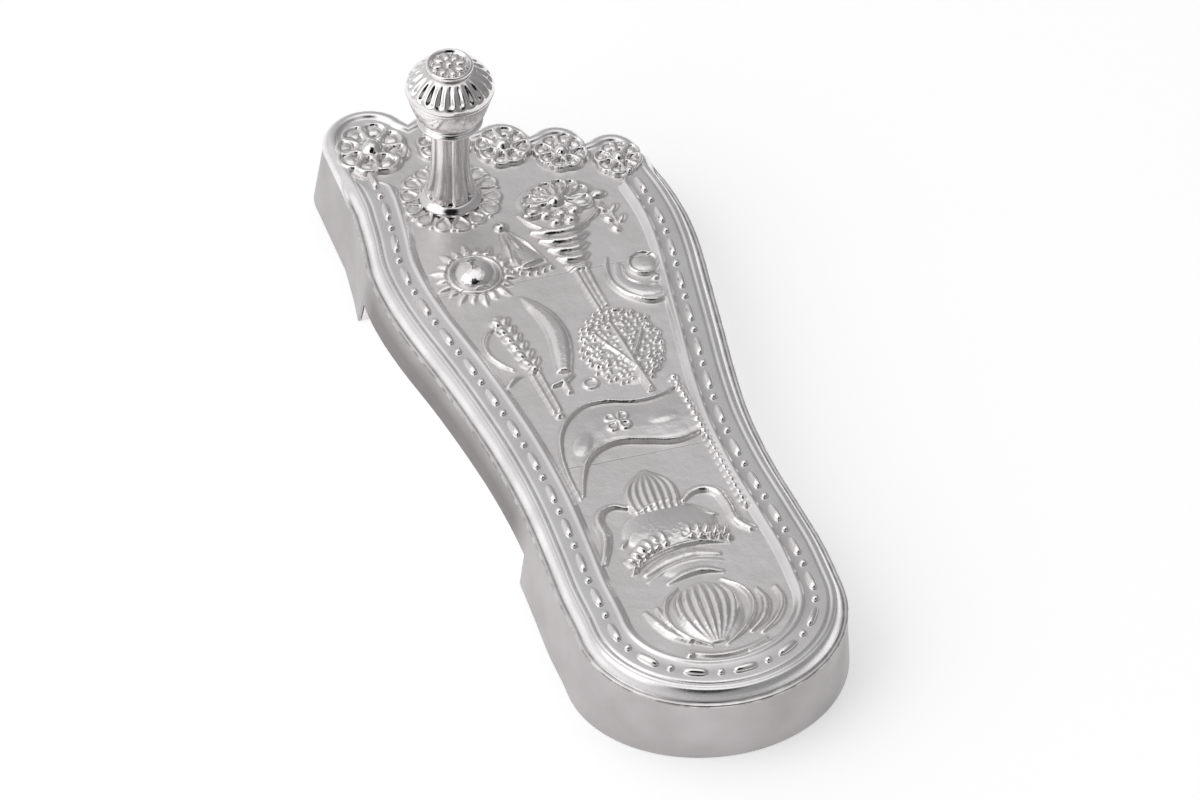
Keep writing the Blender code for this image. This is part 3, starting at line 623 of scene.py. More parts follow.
def petal(centreX, centreY, turn, near, far, wide, edge, rise, heart=0.5):
    # a looped petal that points away from its flower's centre
    turn, wide, rise = turn + hand.uniform(-3.0, 3.0), about(wide, 0.10), about(rise, 0.10)
    long = about(far - near, 0.06)
    far = near + long
    outline = ((0.0, near), (0.34 * wide, near + 0.30 * long), (0.50 * wide, near + 0.66 * long),
               (0.30 * wide, near + 0.93 * long), (0.0, far), (-0.30 * wide, near + 0.93 * long),
               (-0.50 * wide, near + 0.66 * long), (-0.34 * wide, near + 0.30 * long))
    stroke([(*turned(x, y, turn, centreX, centreY), edge) for x, y in outline], rise, closed=True)
    x, y = turned(0.0, near + 0.60 * long, turn, centreX, centreY)
    dome(x, y, 0.36 * wide, 0.34 * long, about(rise * heart, 0.15), turn, 16)


def splinePoints(points, steps=8):       # a smooth line through the points
    ends = [points[0]] + list(points) + [points[-1]]
    line = []
    for index in range(1, len(ends) - 2):
        p0, p1, p2, p3 = (Vector(ends[index + offset][:2]) for offset in (-1, 0, 1, 2))
        for step in range(steps):
            t = step / steps
            line.append(0.5 * ((2 * p1) + (p2 - p0) * t + (2 * p0 - 5 * p1 + 4 * p2 - p3) * t * t
                               + (3 * p1 - p0 - 3 * p2 + p3) * t ** 3))
    line.append(Vector(points[-1][:2]))
    return line


def walkLine(line, pitch, start=0.0):    # places and headings at even distances
    stops = []
    due = start
    gone = 0.0
    for first, second in zip(line, line[1:]):
        length = (second - first).length
        while length and gone + length >= due:
            share = (due - gone) / length
            heading = (second - first).normalized()
            stops.append((first + (second - first) * share, math.degrees(math.atan2(-heading.x, heading.y))))
            due += pitch
        gone += length
    return stops


def ballTemplate(sides, rings):          # a ball to copy, one mm in radius
    bpy.ops.mesh.primitive_uv_sphere_add(
        segments=sides, ring_count=rings, radius=mm, location=(0.0, 0.0, 0.0))
    return bpy.context.object


def placeCopy(template, place, turn, size):
    piece = bpy.data.objects.new("copy", template.data.copy())
    bpy.context.scene.collection.objects.link(piece)
    move = Matrix.Translation(place) @ Matrix.Rotation(math.radians(turn), 4, "Z")
    piece.data.transform(move @ Matrix.Diagonal((*size, 1.0)))
    return piece


bead = ballTemplate(12, 8)
beadSpread = 0.08                        # share by which the beads differ in size


def beads(spots):                        # each x, y, turn, wide, long and rise
    for x, y, turn, *size in spots:
        differing = [about(value, beadSpread) for value in size]
        punches.append(placeCopy(bead, platePoint(x, y), turn, differing))


def beadRow(points, pitch, size, rise):
    beads([(place.x, place.y, turn, size, size, rise)
           for place, turn in walkLine(splinePoints(points), pitch)])


def pressDrawing(drawing):               # the lists that a drawing may have
    for rows, rise in drawing.get("strokes", ()):
        stroke(rows, rise)
    for points, half, rise in drawing.get("lines", ()):
        evenStroke(points, half, rise)
    for row in drawing.get("domes", ()):
        dome(*row)
    for row in drawing.get("petals", ()):
        petal(*row)


knob = {"x": -15.5, "y": 86.1, "footRing": 8.7, "petals": 14, "reach": 14.3}


def pressRosette():
    count = knob["petals"]
    for index in range(count):
        petal(knob["x"], knob["y"], 360.0 * index / count, knob["footRing"] + 0.3, knob["reach"],
              4.3, 0.42, 0.95, 0.35)
    tips = [turned(0.0, knob["reach"] - 0.4, 360.0 * (index + 0.5) / count, knob["x"], knob["y"])
            for index in range(count)]
    beads([(x, y, 0.0, 0.75, 0.75, 0.9) for x, y in tips])


def pressToeFlowers():
    for toe in last["toes"]:
        centre, radius = toeCircle(toe)
        x = centre.x + radius * toe[3]
        y = centre.y - radius * toe[4] - plateOrigin
        size = toe[5] * radius
        for index in range(8):
            turn = 45.0 * index
            petal(x, y, turn + 22.5, 0.34 * size, 1.0 * size, 0.66 * size, 0.10 * size, 1.8, 0.75)
            dome(*turned(0.0, 0.93 * size, turn, x, y), 0.13 * size, 0.10 * size, 0.9, turn, 12)
        dome(x, y, 0.33 * size, 0.33 * size, 1.7 + 0.2 * size)


sun = {"x": -17.5, "y": 53.0, "disc": 6.1, "ring": 7.3, "rays": 20, "near": 8.3, "far": 13.2}


def pressSun():
    dome(sun["x"], sun["y"], sun["disc"], sun["disc"], 4.2, 0.0, 40)
    ringStroke(sun["x"], sun["y"], sun["ring"], 0.75, 1.1, 16)
    for index in range(sun["rays"]):
        turn = 360.0 * index / sun["rays"]
        far = sun["far"] if index % 2 == 0 else sun["far"] - 1.6
        rows = [(*turned(0.0, sun["near"], turn, sun["x"], sun["y"]), 1.5),
                (*turned(0.2, 0.5 * (sun["near"] + far), turn, sun["x"], sun["y"]), 1.05),
                (*turned(0.0, far, turn, sun["x"], sun["y"]), 0.15)]
        stroke(rows, 1.25)


bell = {
    "domes": ((-5.2, 69.8, 2.1, 2.0, 1.9),),
    "strokes": ((((-4.9, 67.6, 1.5), (-3.4, 61.0, 2.9), (-1.3, 52.6, 4.7)), 1.7),),
    "lines": ((((-6.0, 67.0), (-6.0, 61.0), (-6.2, 53.4)), 0.6, 1.9),
              (((-4.6, 67.4), (-3.2, 61.0), (-1.4, 52.4)), 0.6, 1.9),
              (((-3.6, 67.4), (-0.4, 61.6), (3.4, 53.2)), 0.6, 1.9),
              (((-6.8, 53.0), (-1.4, 50.9), (4.2, 52.2)), 0.6, 1.6)),
    "hem": ((-7.0, 51.2), (-1.4, 49.2), (4.4, 50.4)),
}


def pressBell():
    pressDrawing(bell)
    beadRow(bell["hem"], 2.3, 0.75, 1.4)


mace = {
    "domes": ((13.2, 77.2, 11.8, 7.2, 0.9), (12.6, 75.6, 2.8, 2.6, 3.0), (8.6, 71.2, 2.1, 1.9, 1.7),
              (12.8, 70.6, 2.1, 1.9, 1.7), (17.0, 71.2, 2.1, 1.9, 1.7), (10.6, 67.8, 2.1, 1.9, 1.7),
              (15.0, 67.8, 2.1, 1.9, 1.7)),
    "petals": ((13.2, 73.8, -64, 3.4, 10.6, 4.6, 0.5, 1.7), (13.2, 73.8, -38, 3.4, 10.4, 4.6, 0.5, 1.7),
               (13.2, 73.8, -13, 3.4, 9.8, 4.6, 0.5, 1.7), (13.2, 73.8, 13, 3.4, 9.8, 4.6, 0.5, 1.7),
               (13.2, 73.8, 38, 3.4, 10.4, 4.6, 0.5, 1.7), (13.2, 73.8, 64, 3.4, 10.6, 4.6, 0.5, 1.7),
               (12.6, 75.2, 104, 2.6, 10.6, 5.2, 0.55, 1.7, 0.8),
               (12.6, 75.2, -104, 2.6, 10.6, 5.2, 0.55, 1.7, 0.8)),
    "strokes": ((((0.6, 73.4, 0.5), (3.2, 68.6, 0.65), (7.4, 64.6, 0.5)), 1.4),
                (((25.0, 72.2, 0.5), (22.4, 68.2, 0.65), (18.8, 65.4, 0.5)), 1.4),
                (((9.9, 47.6, 0.7), (10.7, 40.0, 0.65), (12.0, 30.0, 0.6)), 1.2),
                (((13.2, 47.6, 0.7), (13.7, 40.0, 0.65), (14.6, 31.0, 0.6)), 1.2),
                (((11.5, 47.6, 0.9), (12.2, 40.0, 0.8), (13.3, 30.6, 0.7)), 0.8)),
    "rings": 5, "top": (10.6, 64.2, 8.4), "bottom": (11.4, 48.6, 3.4),     # x, y and half the width
}


def pressMace():
    pressDrawing(mace)
    for index in range(mace["rings"]):   # the ringed cone, narrowing to the handle
        share = index / (mace["rings"] - 1)
        x, y, half = (high + (low - high) * share for high, low in zip(mace["top"], mace["bottom"]))
        evenStroke(((x - half, y + 1.4), (x - 0.45 * half, y - 0.5), (x + 0.45 * half, y - 0.7),
                    (x + half, y + 0.9)), 1.75 - 0.4 * share, 2.1 - 0.5 * share)


leafSpray = {
    "domes": ((25.2, 75.6, 2.5, 1.9, 1.7),
              (24.2, 69.4, 1.0, 2.2, 1.3, 40, 12), (28.0, 69.0, 1.0, 2.2, 1.3, -40, 12),
              (25.0, 65.0, 1.0, 2.2, 1.3, 36, 12), (29.0, 64.2, 1.0, 2.2, 1.3, -36, 12),
              (25.8, 60.8, 1.0, 2.2, 1.3, 30, 12)),
    "lines": ((((24.6, 72.6), (26.6, 67.0), (27.4, 59.6)), 0.4, 0.9),),
}
moon = {
    "domes": ((29.4, 44.6, 4.0, 4.2, 1.1), (31.4, 38.6, 1.6, 1.2, 1.1, 20.0, 16)),
    "strokes": ((((20.0, 50.0, 0.35), (18.3, 43.0, 0.75), (19.6, 36.4, 0.95), (23.6, 31.6, 1.0),
                  (28.6, 29.4, 0.9), (33.6, 31.0, 0.4)), 1.7),
                (((22.2, 47.0, 0.9), (21.4, 40.6, 2.0), (24.0, 35.6, 2.6), (28.6, 33.4, 2.2),
                  (33.2, 34.0, 0.9)), 1.0)),
    "lines": ((((23.4, 46.0), (23.2, 40.6), (25.8, 37.4), (30.6, 36.2)), 0.4, 1.5),),
}
sword = {
    "strokes": ((((-7.8, 41.2, 0.3), (-5.6, 37.0, 1.8), (-3.1, 31.0, 2.8), (-2.0, 24.0, 3.2),
                  (-2.8, 16.4, 3.0), (-4.4, 8.8, 2.2)), 2.1),
                (((-9.4, 4.4, 0.7), (-5.8, 5.2, 1.0), (-2.2, 7.4, 0.7)), 1.7),
                (((-5.6, 5.0, 1.0), (-5.1, 0.4, 0.8)), 1.3)),
}
goad = {
    "domes": ((-12.0, 12.0, 1.7, 1.5, 2.0), (-10.4, -7.2, 1.3, 1.0, 1.4)),
    "strokes": ((((-16.4, 35.2, 1.2), (-15.4, 29.0, 2.5), (-13.8, 20.0, 2.4), (-12.2, 12.6, 1.5)), 1.1),
                (((-17.0, 31.0, 0.45), (-20.6, 29.2, 0.65), (-23.0, 23.6, 0.75), (-20.8, 17.0, 0.65),
                  (-17.4, 13.4, 0.45)), 1.4),
                (((-13.5, 10.6, 0.55), (-11.5, -6.0, 0.5)), 1.1),
                (((-11.3, 11.0, 0.55), (-9.7, -5.4, 0.5)), 1.1),
                (((-21.0, 7.4, 0.5), (-18.8, 9.6, 0.85), (-15.8, 10.6, 0.5)), 1.2)),
    "leaves": 6, "high": (-16.2, 32.0), "low": (-12.4, 14.5),
}


def pressLeafSpray():
    pressDrawing(leafSpray)


def pressMoon():
    pressDrawing(moon)
    ringStroke(29.4, 44.6, 4.3, 0.55, 1.6)


def pressSword():
    pressDrawing(sword)
    ringStroke(1.4, 2.8, 1.9, 0.42, 0.9, 10)         # a small ring beside the hilt


def pressGoad():
    pressDrawing(goad)
    for index in range(goad["leaves"]):  # overlapping leaves down the head
        share = index / (goad["leaves"] - 1)
        x, y = (high + (low - high) * share for high, low in zip(goad["high"], goad["low"]))
        dome(x - 1.3, y, 1.15, 2.2, 1.9, 38.0, 14)
        dome(x + 1.5, y + 0.6, 1.15, 2.2, 1.7, -42.0, 14)


tree = {
    "x": 14.2, "y": 14.6, "wide": 11.6, "long": 15.4, "pitch": 1.72, "seed": 7,
    "domes": ((14.2, 14.6, 11.6, 15.4, 0.9, 0.0, 40),),
    "strokes": ((((13.0, 26.4, 0.4), (14.0, 17.0, 0.8), (15.2, 6.6, 0.9), (16.8, -4.6, 1.0)), 2.3),
                (((7.4, 20.6, 0.4), (9.6, 15.6, 0.5), (13.0, 9.6, 0.5), (15.0, 4.6, 0.5)), 2.0),
                (((21.4, 20.0, 0.35), (18.6, 14.0, 0.45), (15.4, 8.6, 0.5)), 2.0)),
}


def pressTree():
    pressDrawing(tree)
    draw = random.Random(tree["seed"])
    spots = []
    rows = int(2 * tree["long"] / tree["pitch"])
    for row in range(rows + 1):
        y = tree["y"] - tree["long"] + row * tree["pitch"]
        reach = math.sqrt(max(0.0, 1 - ((y - tree["y"]) / tree["long"]) ** 2)) * tree["wide"]
        x = tree["x"] - reach + 0.5 * tree["pitch"] * (row % 2)
        while x < tree["x"] + reach:
            right = x > tree["x"] + 1.5          # the leaves are longer and lie over on this side
            turn = draw.uniform(-60, 60) if not right else draw.uniform(-70, -30)
            size = draw.uniform(0.5, 0.92)
            spots.append((x + draw.uniform(-0.5, 0.5), y + draw.uniform(-0.5, 0.5), turn,
                          size * (0.75 if right else 1.0), size * (1.35 if right else 1.0),
                          draw.uniform(1.2, 1.75)))
            x += tree["pitch"]
    beads(spots)


flag = {
    "strokes": (
        (((25.0, -14.2, 8.6), (17.4, -16.0, 8.6), (10.0, -15.2, 7.8), (3.0, -13.4, 7.8), (-3.0, -14.2, 8.0),
          (-7.6, -18.4, 7.0), (-10.6, -24.0, 4.6), (-12.4, -31.0, 2.2), (-13.8, -38.0, 0.5)), 1.1),
        (((24.2, -4.8, 0.5), (18.0, -7.2, 0.6), (10.0, -7.5, 0.62), (3.0, -5.6, 0.62), (-3.0, -5.8, 0.65),
          (-8.2, -9.2, 0.7), (-11.6, -13.4, 0.7), (-14.0, -20.0, 0.65), (-14.8, -30.0, 0.5),
          (-14.0, -40.0, 0.3)), 1.9),
        (((25.4, -23.4, 0.6), (18.0, -25.2, 0.75), (10.0, -23.3, 0.75), (3.0, -21.6, 0.75),
          (-3.0, -22.6, 0.75), (-7.8, -26.0, 0.7), (-10.6, -31.0, 0.6), (-13.2, -39.0, 0.35)), 2.0)),
    "lines": ((((25.7, -4.0), (27.1, -18.0), (28.1, -32.0), (30.3, -56.0)), 0.35, 0.9),),
    "domes": ((16.6, -15.8, 6.4, 3.2, 1.4, 4.0, 32), (-7.4, -19.6, 3.2, 5.6, 1.3, -34.0, 32),
              (4.0, -14.2, 0.9, 0.9, 2.0, 0.0, 14), (24.0, -1.6, 1.5, 1.5, 1.9, 0.0, 16)),
    "petals": tuple((4.0, -14.2, turn, 0.9, 3.7, 2.5, 0.36, 1.9) for turn in (45, 135, 225, 315)),
    "pole": ((24.0, -4.0), (25.4, -18.0), (26.4, -32.0), (28.6, -56.0)),
}


def pressFlag():
    pressDrawing(flag)
    beads([(place.x, place.y, turn + 18.0, 0.95, 1.5, 1.9)
           for place, turn in walkLine(splinePoints(flag["pole"]), 2.5)])


pot = {
    "strokes": (
        (((-2.6, -46.4, 0.7), (-7.4, -44.8, 1.1), (-11.6, -48.0, 1.3), (-11.8, -55.6, 1.3),
          (-13.4, -60.6, 1.1), (-16.2, -66.0, 0.6)), 1.7),
        (((-6.0, -44.3, 0.3), (-10.2, -47.5, 0.3), (-10.4, -55.1, 0.3), (-12.0, -60.1, 0.3),
          (-14.8, -65.5, 0.3)), 1.2),
        (((12.2, -47.8, 0.7), (16.6, -44.9, 1.2), (21.6, -46.2, 1.4), (23.6, -52.0, 1.3),
          (24.4, -59.0, 1.2), (27.6, -63.2, 0.9)), 1.7),
        (((18.0, -44.4, 0.3), (23.0, -45.7, 0.3), (25.0, -51.5, 0.3), (25.8, -58.5, 0.3),
          (29.0, -62.7, 0.3)), 1.2),
        (((-8.4, -60.0, 0.45), (-2.2, -54.8, 0.45), (5.0, -52.4, 0.45), (13.0, -52.2, 0.45),
          (20.0, -55.2, 0.4)), 1.2)),
    "lines": (
        (((-3.0, -51.0), (1.6, -48.4), (6.8, -47.2), (11.6, -47.8)), 0.62, 1.9),
        (((-8.4, -67.6), (-2.2, -62.4), (5.0, -60.0), (13.0, -59.8), (20.8, -62.4)), 3.2, 1.6),
        (((-9.0, -70.8), (-2.2, -66.3), (5.0, -64.2), (13.0, -64.0), (20.4, -66.0)), 0.45, 1.7),
        (((-5.6, -71.8), (2.0, -68.4), (9.0, -67.4), (16.6, -69.4)), 2.0, 1.4),
        (((-5.6, -74.4), (2.0, -71.0), (9.0, -70.0), (16.6, -72.0)), 0.5, 0.9),
        (((-0.6, -76.4), (5.0, -74.4), (10.0, -74.0), (15.4, -75.8)), 1.2, 1.3)),
    "domes": ((4.8, -43.6, 6.8, 8.4, 1.5, 0.0, 28), (6.0, -56.4, 13.2, 8.8, 1.7, 0.0, 36),
              (7.6, -71.8, 8.6, 3.4, 0.6, 0.0, 28)),
    "belt": ((-8.4, -67.6), (-2.2, -62.4), (5.0, -60.0), (13.0, -59.8), (20.8, -62.4)),
    "flower": (8.8, -59.2), "flowerPlaces": (6, 7),
}


def pressPot():
    pressDrawing(pot)
    for index in range(7):               # the ribbed bud in the mouth
        lean = (index - 3) / 3
        stroke(((5.4 + 0.6 * lean, -33.8, 0.25), (4.9 + 5.6 * lean, -40.0, 0.95), (4.6 + 6.4 * lean, -45.0, 1.1),
                (4.6 + 5.6 * lean, -49.6, 0.9)), 2.2 - 0.4 * abs(lean))
    spots = []
    for index, (place, turn) in enumerate(walkLine(splinePoints(pot["belt"]), 2.55, 0.8)):
        if index not in pot["flowerPlaces"]:
            spots.append((place.x, place.y + 0.5, turn + 90.0, 0.8, 2.3, 2.5))
            spots.append((place.x + 0.3, place.y - 2.3, 0.0, 1.0, 1.0, 2.4))
    beads(spots)
    for turn in (0, 90, 180, 270):
        petal(*pot["flower"], turn, 0.7, 2.9, 2.0, 0.32, 2.0)


lotus = {
    "strokes": (
        (((-9.6, -84.6, 0.5), (-7.6, -89.6, 1.3), (-5.0, -94.6, 1.3), (-0.6, -98.8, 0.6)), 1.4),
        (((-6.0, -83.8, 0.4), (-5.6, -88.0, 0.8), (-4.6, -92.0, 0.7)), 1.4),
        (((21.8, -84.0, 0.5), (22.9, -89.6, 1.2), (20.8, -94.8, 1.2), (15.8, -99.0, 0.6)), 1.4),
        (((26.8, -84.6, 0.6), (27.4, -90.0, 0.9), (24.2, -96.0, 0.9), (18.6, -100.2, 0.5)), 1.4),
        (((-2.6, -101.6, 0.5), (2.0, -104.2, 0.9), (8.0, -105.2, 1.0), (14.0, -104.4, 0.8),
          (19.4, -102.4, 0.5)), 1.0),
        (((13.0, -106.0, 0.4), (19.0, -104.6, 0.7), (25.4, -101.8, 0.6)), 1.0)),
    "lines": ((((1.4, -78.6), (-3.4, -83.6), (-4.6, -90.0), (-1.6, -96.6), (4.4, -101.4)), 0.6, 1.7),
              (((13.8, -78.2), (18.4, -83.6), (19.4, -90.0), (15.2, -97.0), (8.2, -101.8)), 0.6, 1.7)),
    "domes": ((7.2, -89.4, 9.0, 11.0, 1.3, 0.0, 32), (-2.4, -103.2, 1.3, 1.1, 1.2, 0.0, 14),
              (24.6, -103.6, 1.3, 1.0, 1.1, 0.0, 14)),
}


def pressLotus():
    pressDrawing(lotus)
    for index in range(-3, 4):           # the ribs of the bud
        stroke(((7.4 + 1.9 * index, -79.0 - 0.4 * abs(index), 0.4), (7.2 + 2.5 * index, -85.0, 1.1),
                (6.8 + 2.1 * index, -92.4, 1.0), (6.2 + 0.6 * index, -100.6, 0.4)), 2.4 - 0.25 * abs(index))


field = {
    "start": 32.0, "pitch": 0.28, "inset": (12.8, 2.4), "smooth": 5, "cuts": (-27.5, 47.5), "back": 0.35,
}


def fieldBase():                         # the flat ground inside the rim, as one face
    ring = []
    for station in stations:
        inset = field["inset"][0] + (field["inset"][1] - field["inset"][0]) * station["toe"]
        place = station["place"] + station["inward"] * inset
        ring.append(lastPoint(place.x, place.y, deck["field"]))
    return meshPiece("ground", ring, [tuple(range(len(ring)))])


def keepSheet(sheet):                    # slivers that stand apart, past the edge of the ground, go
    middle = min(sheet.data.vertices, key=lambda vertex: vertex.co.xy.length).index
    selectWanted(sheet, "verts", lambda vertex: vertex.index == middle)
    bpy.ops.mesh.select_linked()
    bpy.ops.mesh.select_all(action="INVERT")
    bpy.ops.mesh.delete(type="VERT")
    selectNone()


def closeBack(sheet):                    # a thin edge and a flat back
    editNone(sheet, "edges")
    bpy.ops.mesh.select_non_manifold(
        use_wire=False, use_multi_face=False, use_non_contiguous=False, use_verts=False)
    bpy.ops.mesh.extrude_edges_move(TRANSFORM_OT_translate={"value": (0.0, 0.0, -field["back"] * mm)})
    bpy.ops.object.mode_set(mode="OBJECT")
    for vertex in sheet.data.vertices:
        if vertex.select:
            vertex.co.z = (deck["field"] - field["back"]) * mm
    bpy.ops.object.mode_set(mode="EDIT")
    bpy.ops.mesh.fill(use_beauty=False)
    faceOutward()


def makeField():
    for press in (pressRosette, pressToeFlowers, pressSun, pressBell, pressMace, pressLeafSpray, pressMoon,
                  pressSword, pressGoad, pressTree, pressFlag, pressPot, pressLotus):
        press()
    bpy.data.objects.remove(bead)
    form = joinPieces([fieldBase()] + punches, "pressForm")
    print("press form has", len(form.data.polygons), "faces")
    low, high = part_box("top_plate")
    size = high - low
    bpy.ops.mesh.primitive_grid_add(
        x_subdivisions=int(size.x / (field["pitch"] * mm)),
        y_subdivisions=int(size.y / (field["pitch"] * mm)),
        size=1.0, location=(0.5 * (low.x + high.x), 0.5 * (low.y + high.y), field["start"] * mm))
    sheet = bpy.context.object
    sheet.scale = (size.x, size.y, 1.0)
    applyAll(sheet)
    press = sheet.modifiers.new("Press", "SHRINKWRAP")
    press.wrap_method = "PROJECT"
    press.use_project_z = True
    press.use_negative_direction = True
    press.use_positive_direction = False
    press.target = form
    applyAll(sheet)
    selectWanted(sheet, "verts", lambda vertex: vertex.co.z > (field["start"] - 1.0) * mm)
    bpy.ops.mesh.delete(type="VERT")     # what missed the form is trimmed off
    keepSheet(sheet)
    relax = sheet.modifiers.new("Relax", "SMOOTH")
    relax.factor = 0.5
    relax.iterations = field["smooth"]
    bpy.data.objects.remove(form)
    applyAll(sheet)
    print("field has", len(sheet.data.polygons), "faces")
    heelCut, toeCut = (platePoint(0.0, cut).y for cut in field["cuts"])
    spans = (("heelField", -1.0, heelCut), ("middleField", heelCut, toeCut), ("toeField", toeCut, 1.0))
    finish = plateFinish()
    for name, start, end in spans:       # three sheets, so that each stays light
        part = sheet.copy()
        part.data = sheet.data.copy()
        bpy.context.scene.collection.objects.link(part)
        selectWanted(part, "faces", lambda face: not start <= face.center.y < end)
        bpy.ops.mesh.delete(type="FACE")
        closeBack(part)
        finishPiece(part, name, finish, ["top_plate"])
    bpy.data.objects.remove(sheet)


makeField()
print("field pressed")

# The border: a grain and a bead in turn, from the big toe's flower round the heel to the little toe's
border = {
    "inset": 8.7, "pitch": 13.53, "start": 3.5, "toeShare": 0.9, "grain": (1.3, 3.5, 1.45), "bead": 1.15,
}
borderLook = {
    "gloss": {"low": 0.06, "high": 0.12}, "cloud": {"scale": 90.0},
    "grain": {"stretch": (1.0, 1.0, 1.0), "scale": 2400.0, "rough": 0.05, "depth": 0.01},
    "tarnish": {"open": 0.50, "deep": 0.42, "strength": 0.4},
}


def borderLine():
    line = []
    for station in stations:
        if station["toe"] < border["toeShare"]:
            place = station["place"] + station["inward"] * border["inset"]
            line.append(Vector((place.x, place.y)))
    return line


def makeBorder():
    bead, grain = ballTemplate(20, 14), ballTemplate(20, 14)
    for vertex in grain.data.vertices:   # blunt ends, as a grain of rice has
        vertex.co.y = (0.60 * vertex.co.y / mm + 0.42 * math.tanh(2.2 * vertex.co.y / mm)) * mm
    pieces = []
    for index, (place, turn) in enumerate(walkLine(borderLine(), 0.5 * border["pitch"], border["start"])):
        template, size = (bead, (border["bead"],) * 3) if index % 2 else (grain, border["grain"])
        pieces.append(placeCopy(template, lastPoint(place.x, place.y, deck["border"]), turn, size))
    bpy.data.objects.remove(bead)
    bpy.data.objects.remove(grain)
    whole = joinPieces(pieces, "borderGrains")
    material = silverFinish("grainSilver", **borderLook)
    finishPiece(whole, "borderGrains", material, ["top_plate"])


makeBorder()
print("border set")

# The knob, on one axis. Rows are radius and height over the floor.
axis = platePoint(knob["x"], knob["y"])
knobLook = {
    "gloss": {"low": 0.07, "high": 0.15}, "cloud": {"scale": 110.0},
    "grain": {"stretch": (1.0, 1.0, 0.2), "scale": 2600.0, "rough": 0.05, "depth": 0.01},
    "tarnish": {"open": 0.47, "deep": 0.38, "strength": 0.5},
}


def spinPiece(name, rows, steps, closed=False):
    verts = [(axis.x + radius * mm, axis.y, height * mm) for radius, height in rows]
    edges = [(index, index + 1) for index in range(len(rows) - 1)]
    if closed:
        edges.append((len(rows) - 1, 0))
    piece = meshPiece(name, verts, [], edges)
    makeActive(piece)
    bpy.ops.object.mode_set(mode="EDIT")
    bpy.ops.mesh.select_all(action="SELECT")
    bpy.ops.mesh.spin(
        steps=steps, angle=2 * math.pi, center=(axis.x, axis.y, 0.0), axis=(0.0, 0.0, 1.0))
    bpy.ops.mesh.select_all(action="SELECT")
    bpy.ops.mesh.remove_doubles(threshold=0.00001)
    faceOutward()
    return piece


def shapeRound(piece, shape):            # shape takes angle from the heel's direction, radius and height
    for vertex in piece.data.vertices:
        x, y = vertex.co.x - axis.x, vertex.co.y - axis.y
        radius = math.hypot(x, y)
        if radius < 0.00001:
            continue
        newRadius, newHeight = shape(math.atan2(x, -y), radius / mm, vertex.co.z / mm)
        vertex.co.x = axis.x + x / radius * newRadius * mm
        vertex.co.y = axis.y + y / radius * newRadius * mm
        vertex.co.z = newHeight * mm


def smoothRows(rows, steps=5):
    return [tuple(point) for point in splinePoints(rows, steps)]


def knobFinish(name):
    return silverFinish(name, **knobLook)


def makeFootRing():
    rows = [(5.8, 23.3), (6.0, 24.8), (6.5, 25.35), (7.2, 25.45), (7.7, 25.2), (8.5, 24.4), (8.85, 24.1),
            (9.0, 23.8), (9.0, 23.3)]
    piece = spinPiece("footRing", smoothRows(rows, 3), 96, closed=True)
    finishPiece(piece, "footRing", knobFinish("footRingSilver"), ["foot_ring"], 60)


stem = {
    "rows": [(5.8, 23.1), (6.8, 24.2), (7.1, 25.6), (7.0, 27.2), (6.6, 29.0), (6.1, 31.2), (5.7, 34.0),
             (5.5, 38.5), (5.4, 42.0), (5.4, 46.0), (5.5, 49.5), (5.5, 52.5), (5.0, 55.8)],
    "lobes": 6, "turn": -16.0, "groove": 1.5, "petal": 27.6, "petalSpread": 4.0, "petalGroove": 0.2,
    "bore": 4.2, "top": 55.8, "fade": 4.0,
}


def makeStem():
    rows = smoothRows(stem["rows"], 5)
    inner = [(stem["bore"], rows[-1][1]), (stem["bore"], rows[0][1])]
    piece = spinPiece("stem", rows + inner, stem["lobes"] * 24, closed=True)

    def lobe(angle, radius, height):
        if radius < stem["bore"] + 0.1:
            return radius, height
        hollow = (1.0 - abs(math.sin(0.5 * stem["lobes"] * (angle - math.radians(stem["turn"]))))) ** 2.0
        foot = math.exp(-((height - stem["petal"]) / stem["petalSpread"]) ** 2)
        fade = min(1.0, (stem["top"] - height) / stem["fade"])
        return radius - (stem["groove"] + stem["petalGroove"] * foot) * hollow * fade, height

    shapeRound(piece, lobe)
    look = {**knobLook, "gloss": {"low": 0.16, "high": 0.26}}
    finishPiece(piece, "stem", silverFinish("stemSilver", **look), ["knob_post"], 60)


def makeCollar():
    rows = [(5.6, 51.7), (6.6, 51.65), (7.6, 52.0), (8.5, 52.6), (9.1, 52.75), (9.42, 53.1), (9.35, 53.5),
            (8.9, 53.75), (8.5, 54.1), (8.2, 54.5), (5.6, 54.5)]
    piece = spinPiece("collar", smoothRows(rows, 4), 96, closed=True)
    finishPiece(piece, "collar", knobFinish("collarSilver"), ["knob_collar"], 60)


def makeBowl():
    rows = [(5.7, 54.75), (8.4, 54.75), (9.2, 55.3), (10.1, 57.0), (11.0, 59.2), (11.8, 61.6), (12.25, 63.4),
            (12.35, 64.1), (12.55, 64.25), (12.6, 64.55), (12.5, 64.85), (12.1, 64.9)]
    inner = [(11.4, 64.0), (10.2, 59.6), (8.4, 55.9), (5.7, 55.4)]
    piece = spinPiece("bowl", smoothRows(rows, 3) + inner, 128, closed=True)
    finishPiece(piece, "bowl", knobFinish("bowlSilver"), ["knob_bowl"], 50)


cap = {"flutes": 24, "depth": 1.05, "near": 6.6, "far": 12.35}


def capUnder(radius):                    # heights below this belong to the inside of the cap
    return 72.2 - 0.048 * radius ** 2 - 0.9


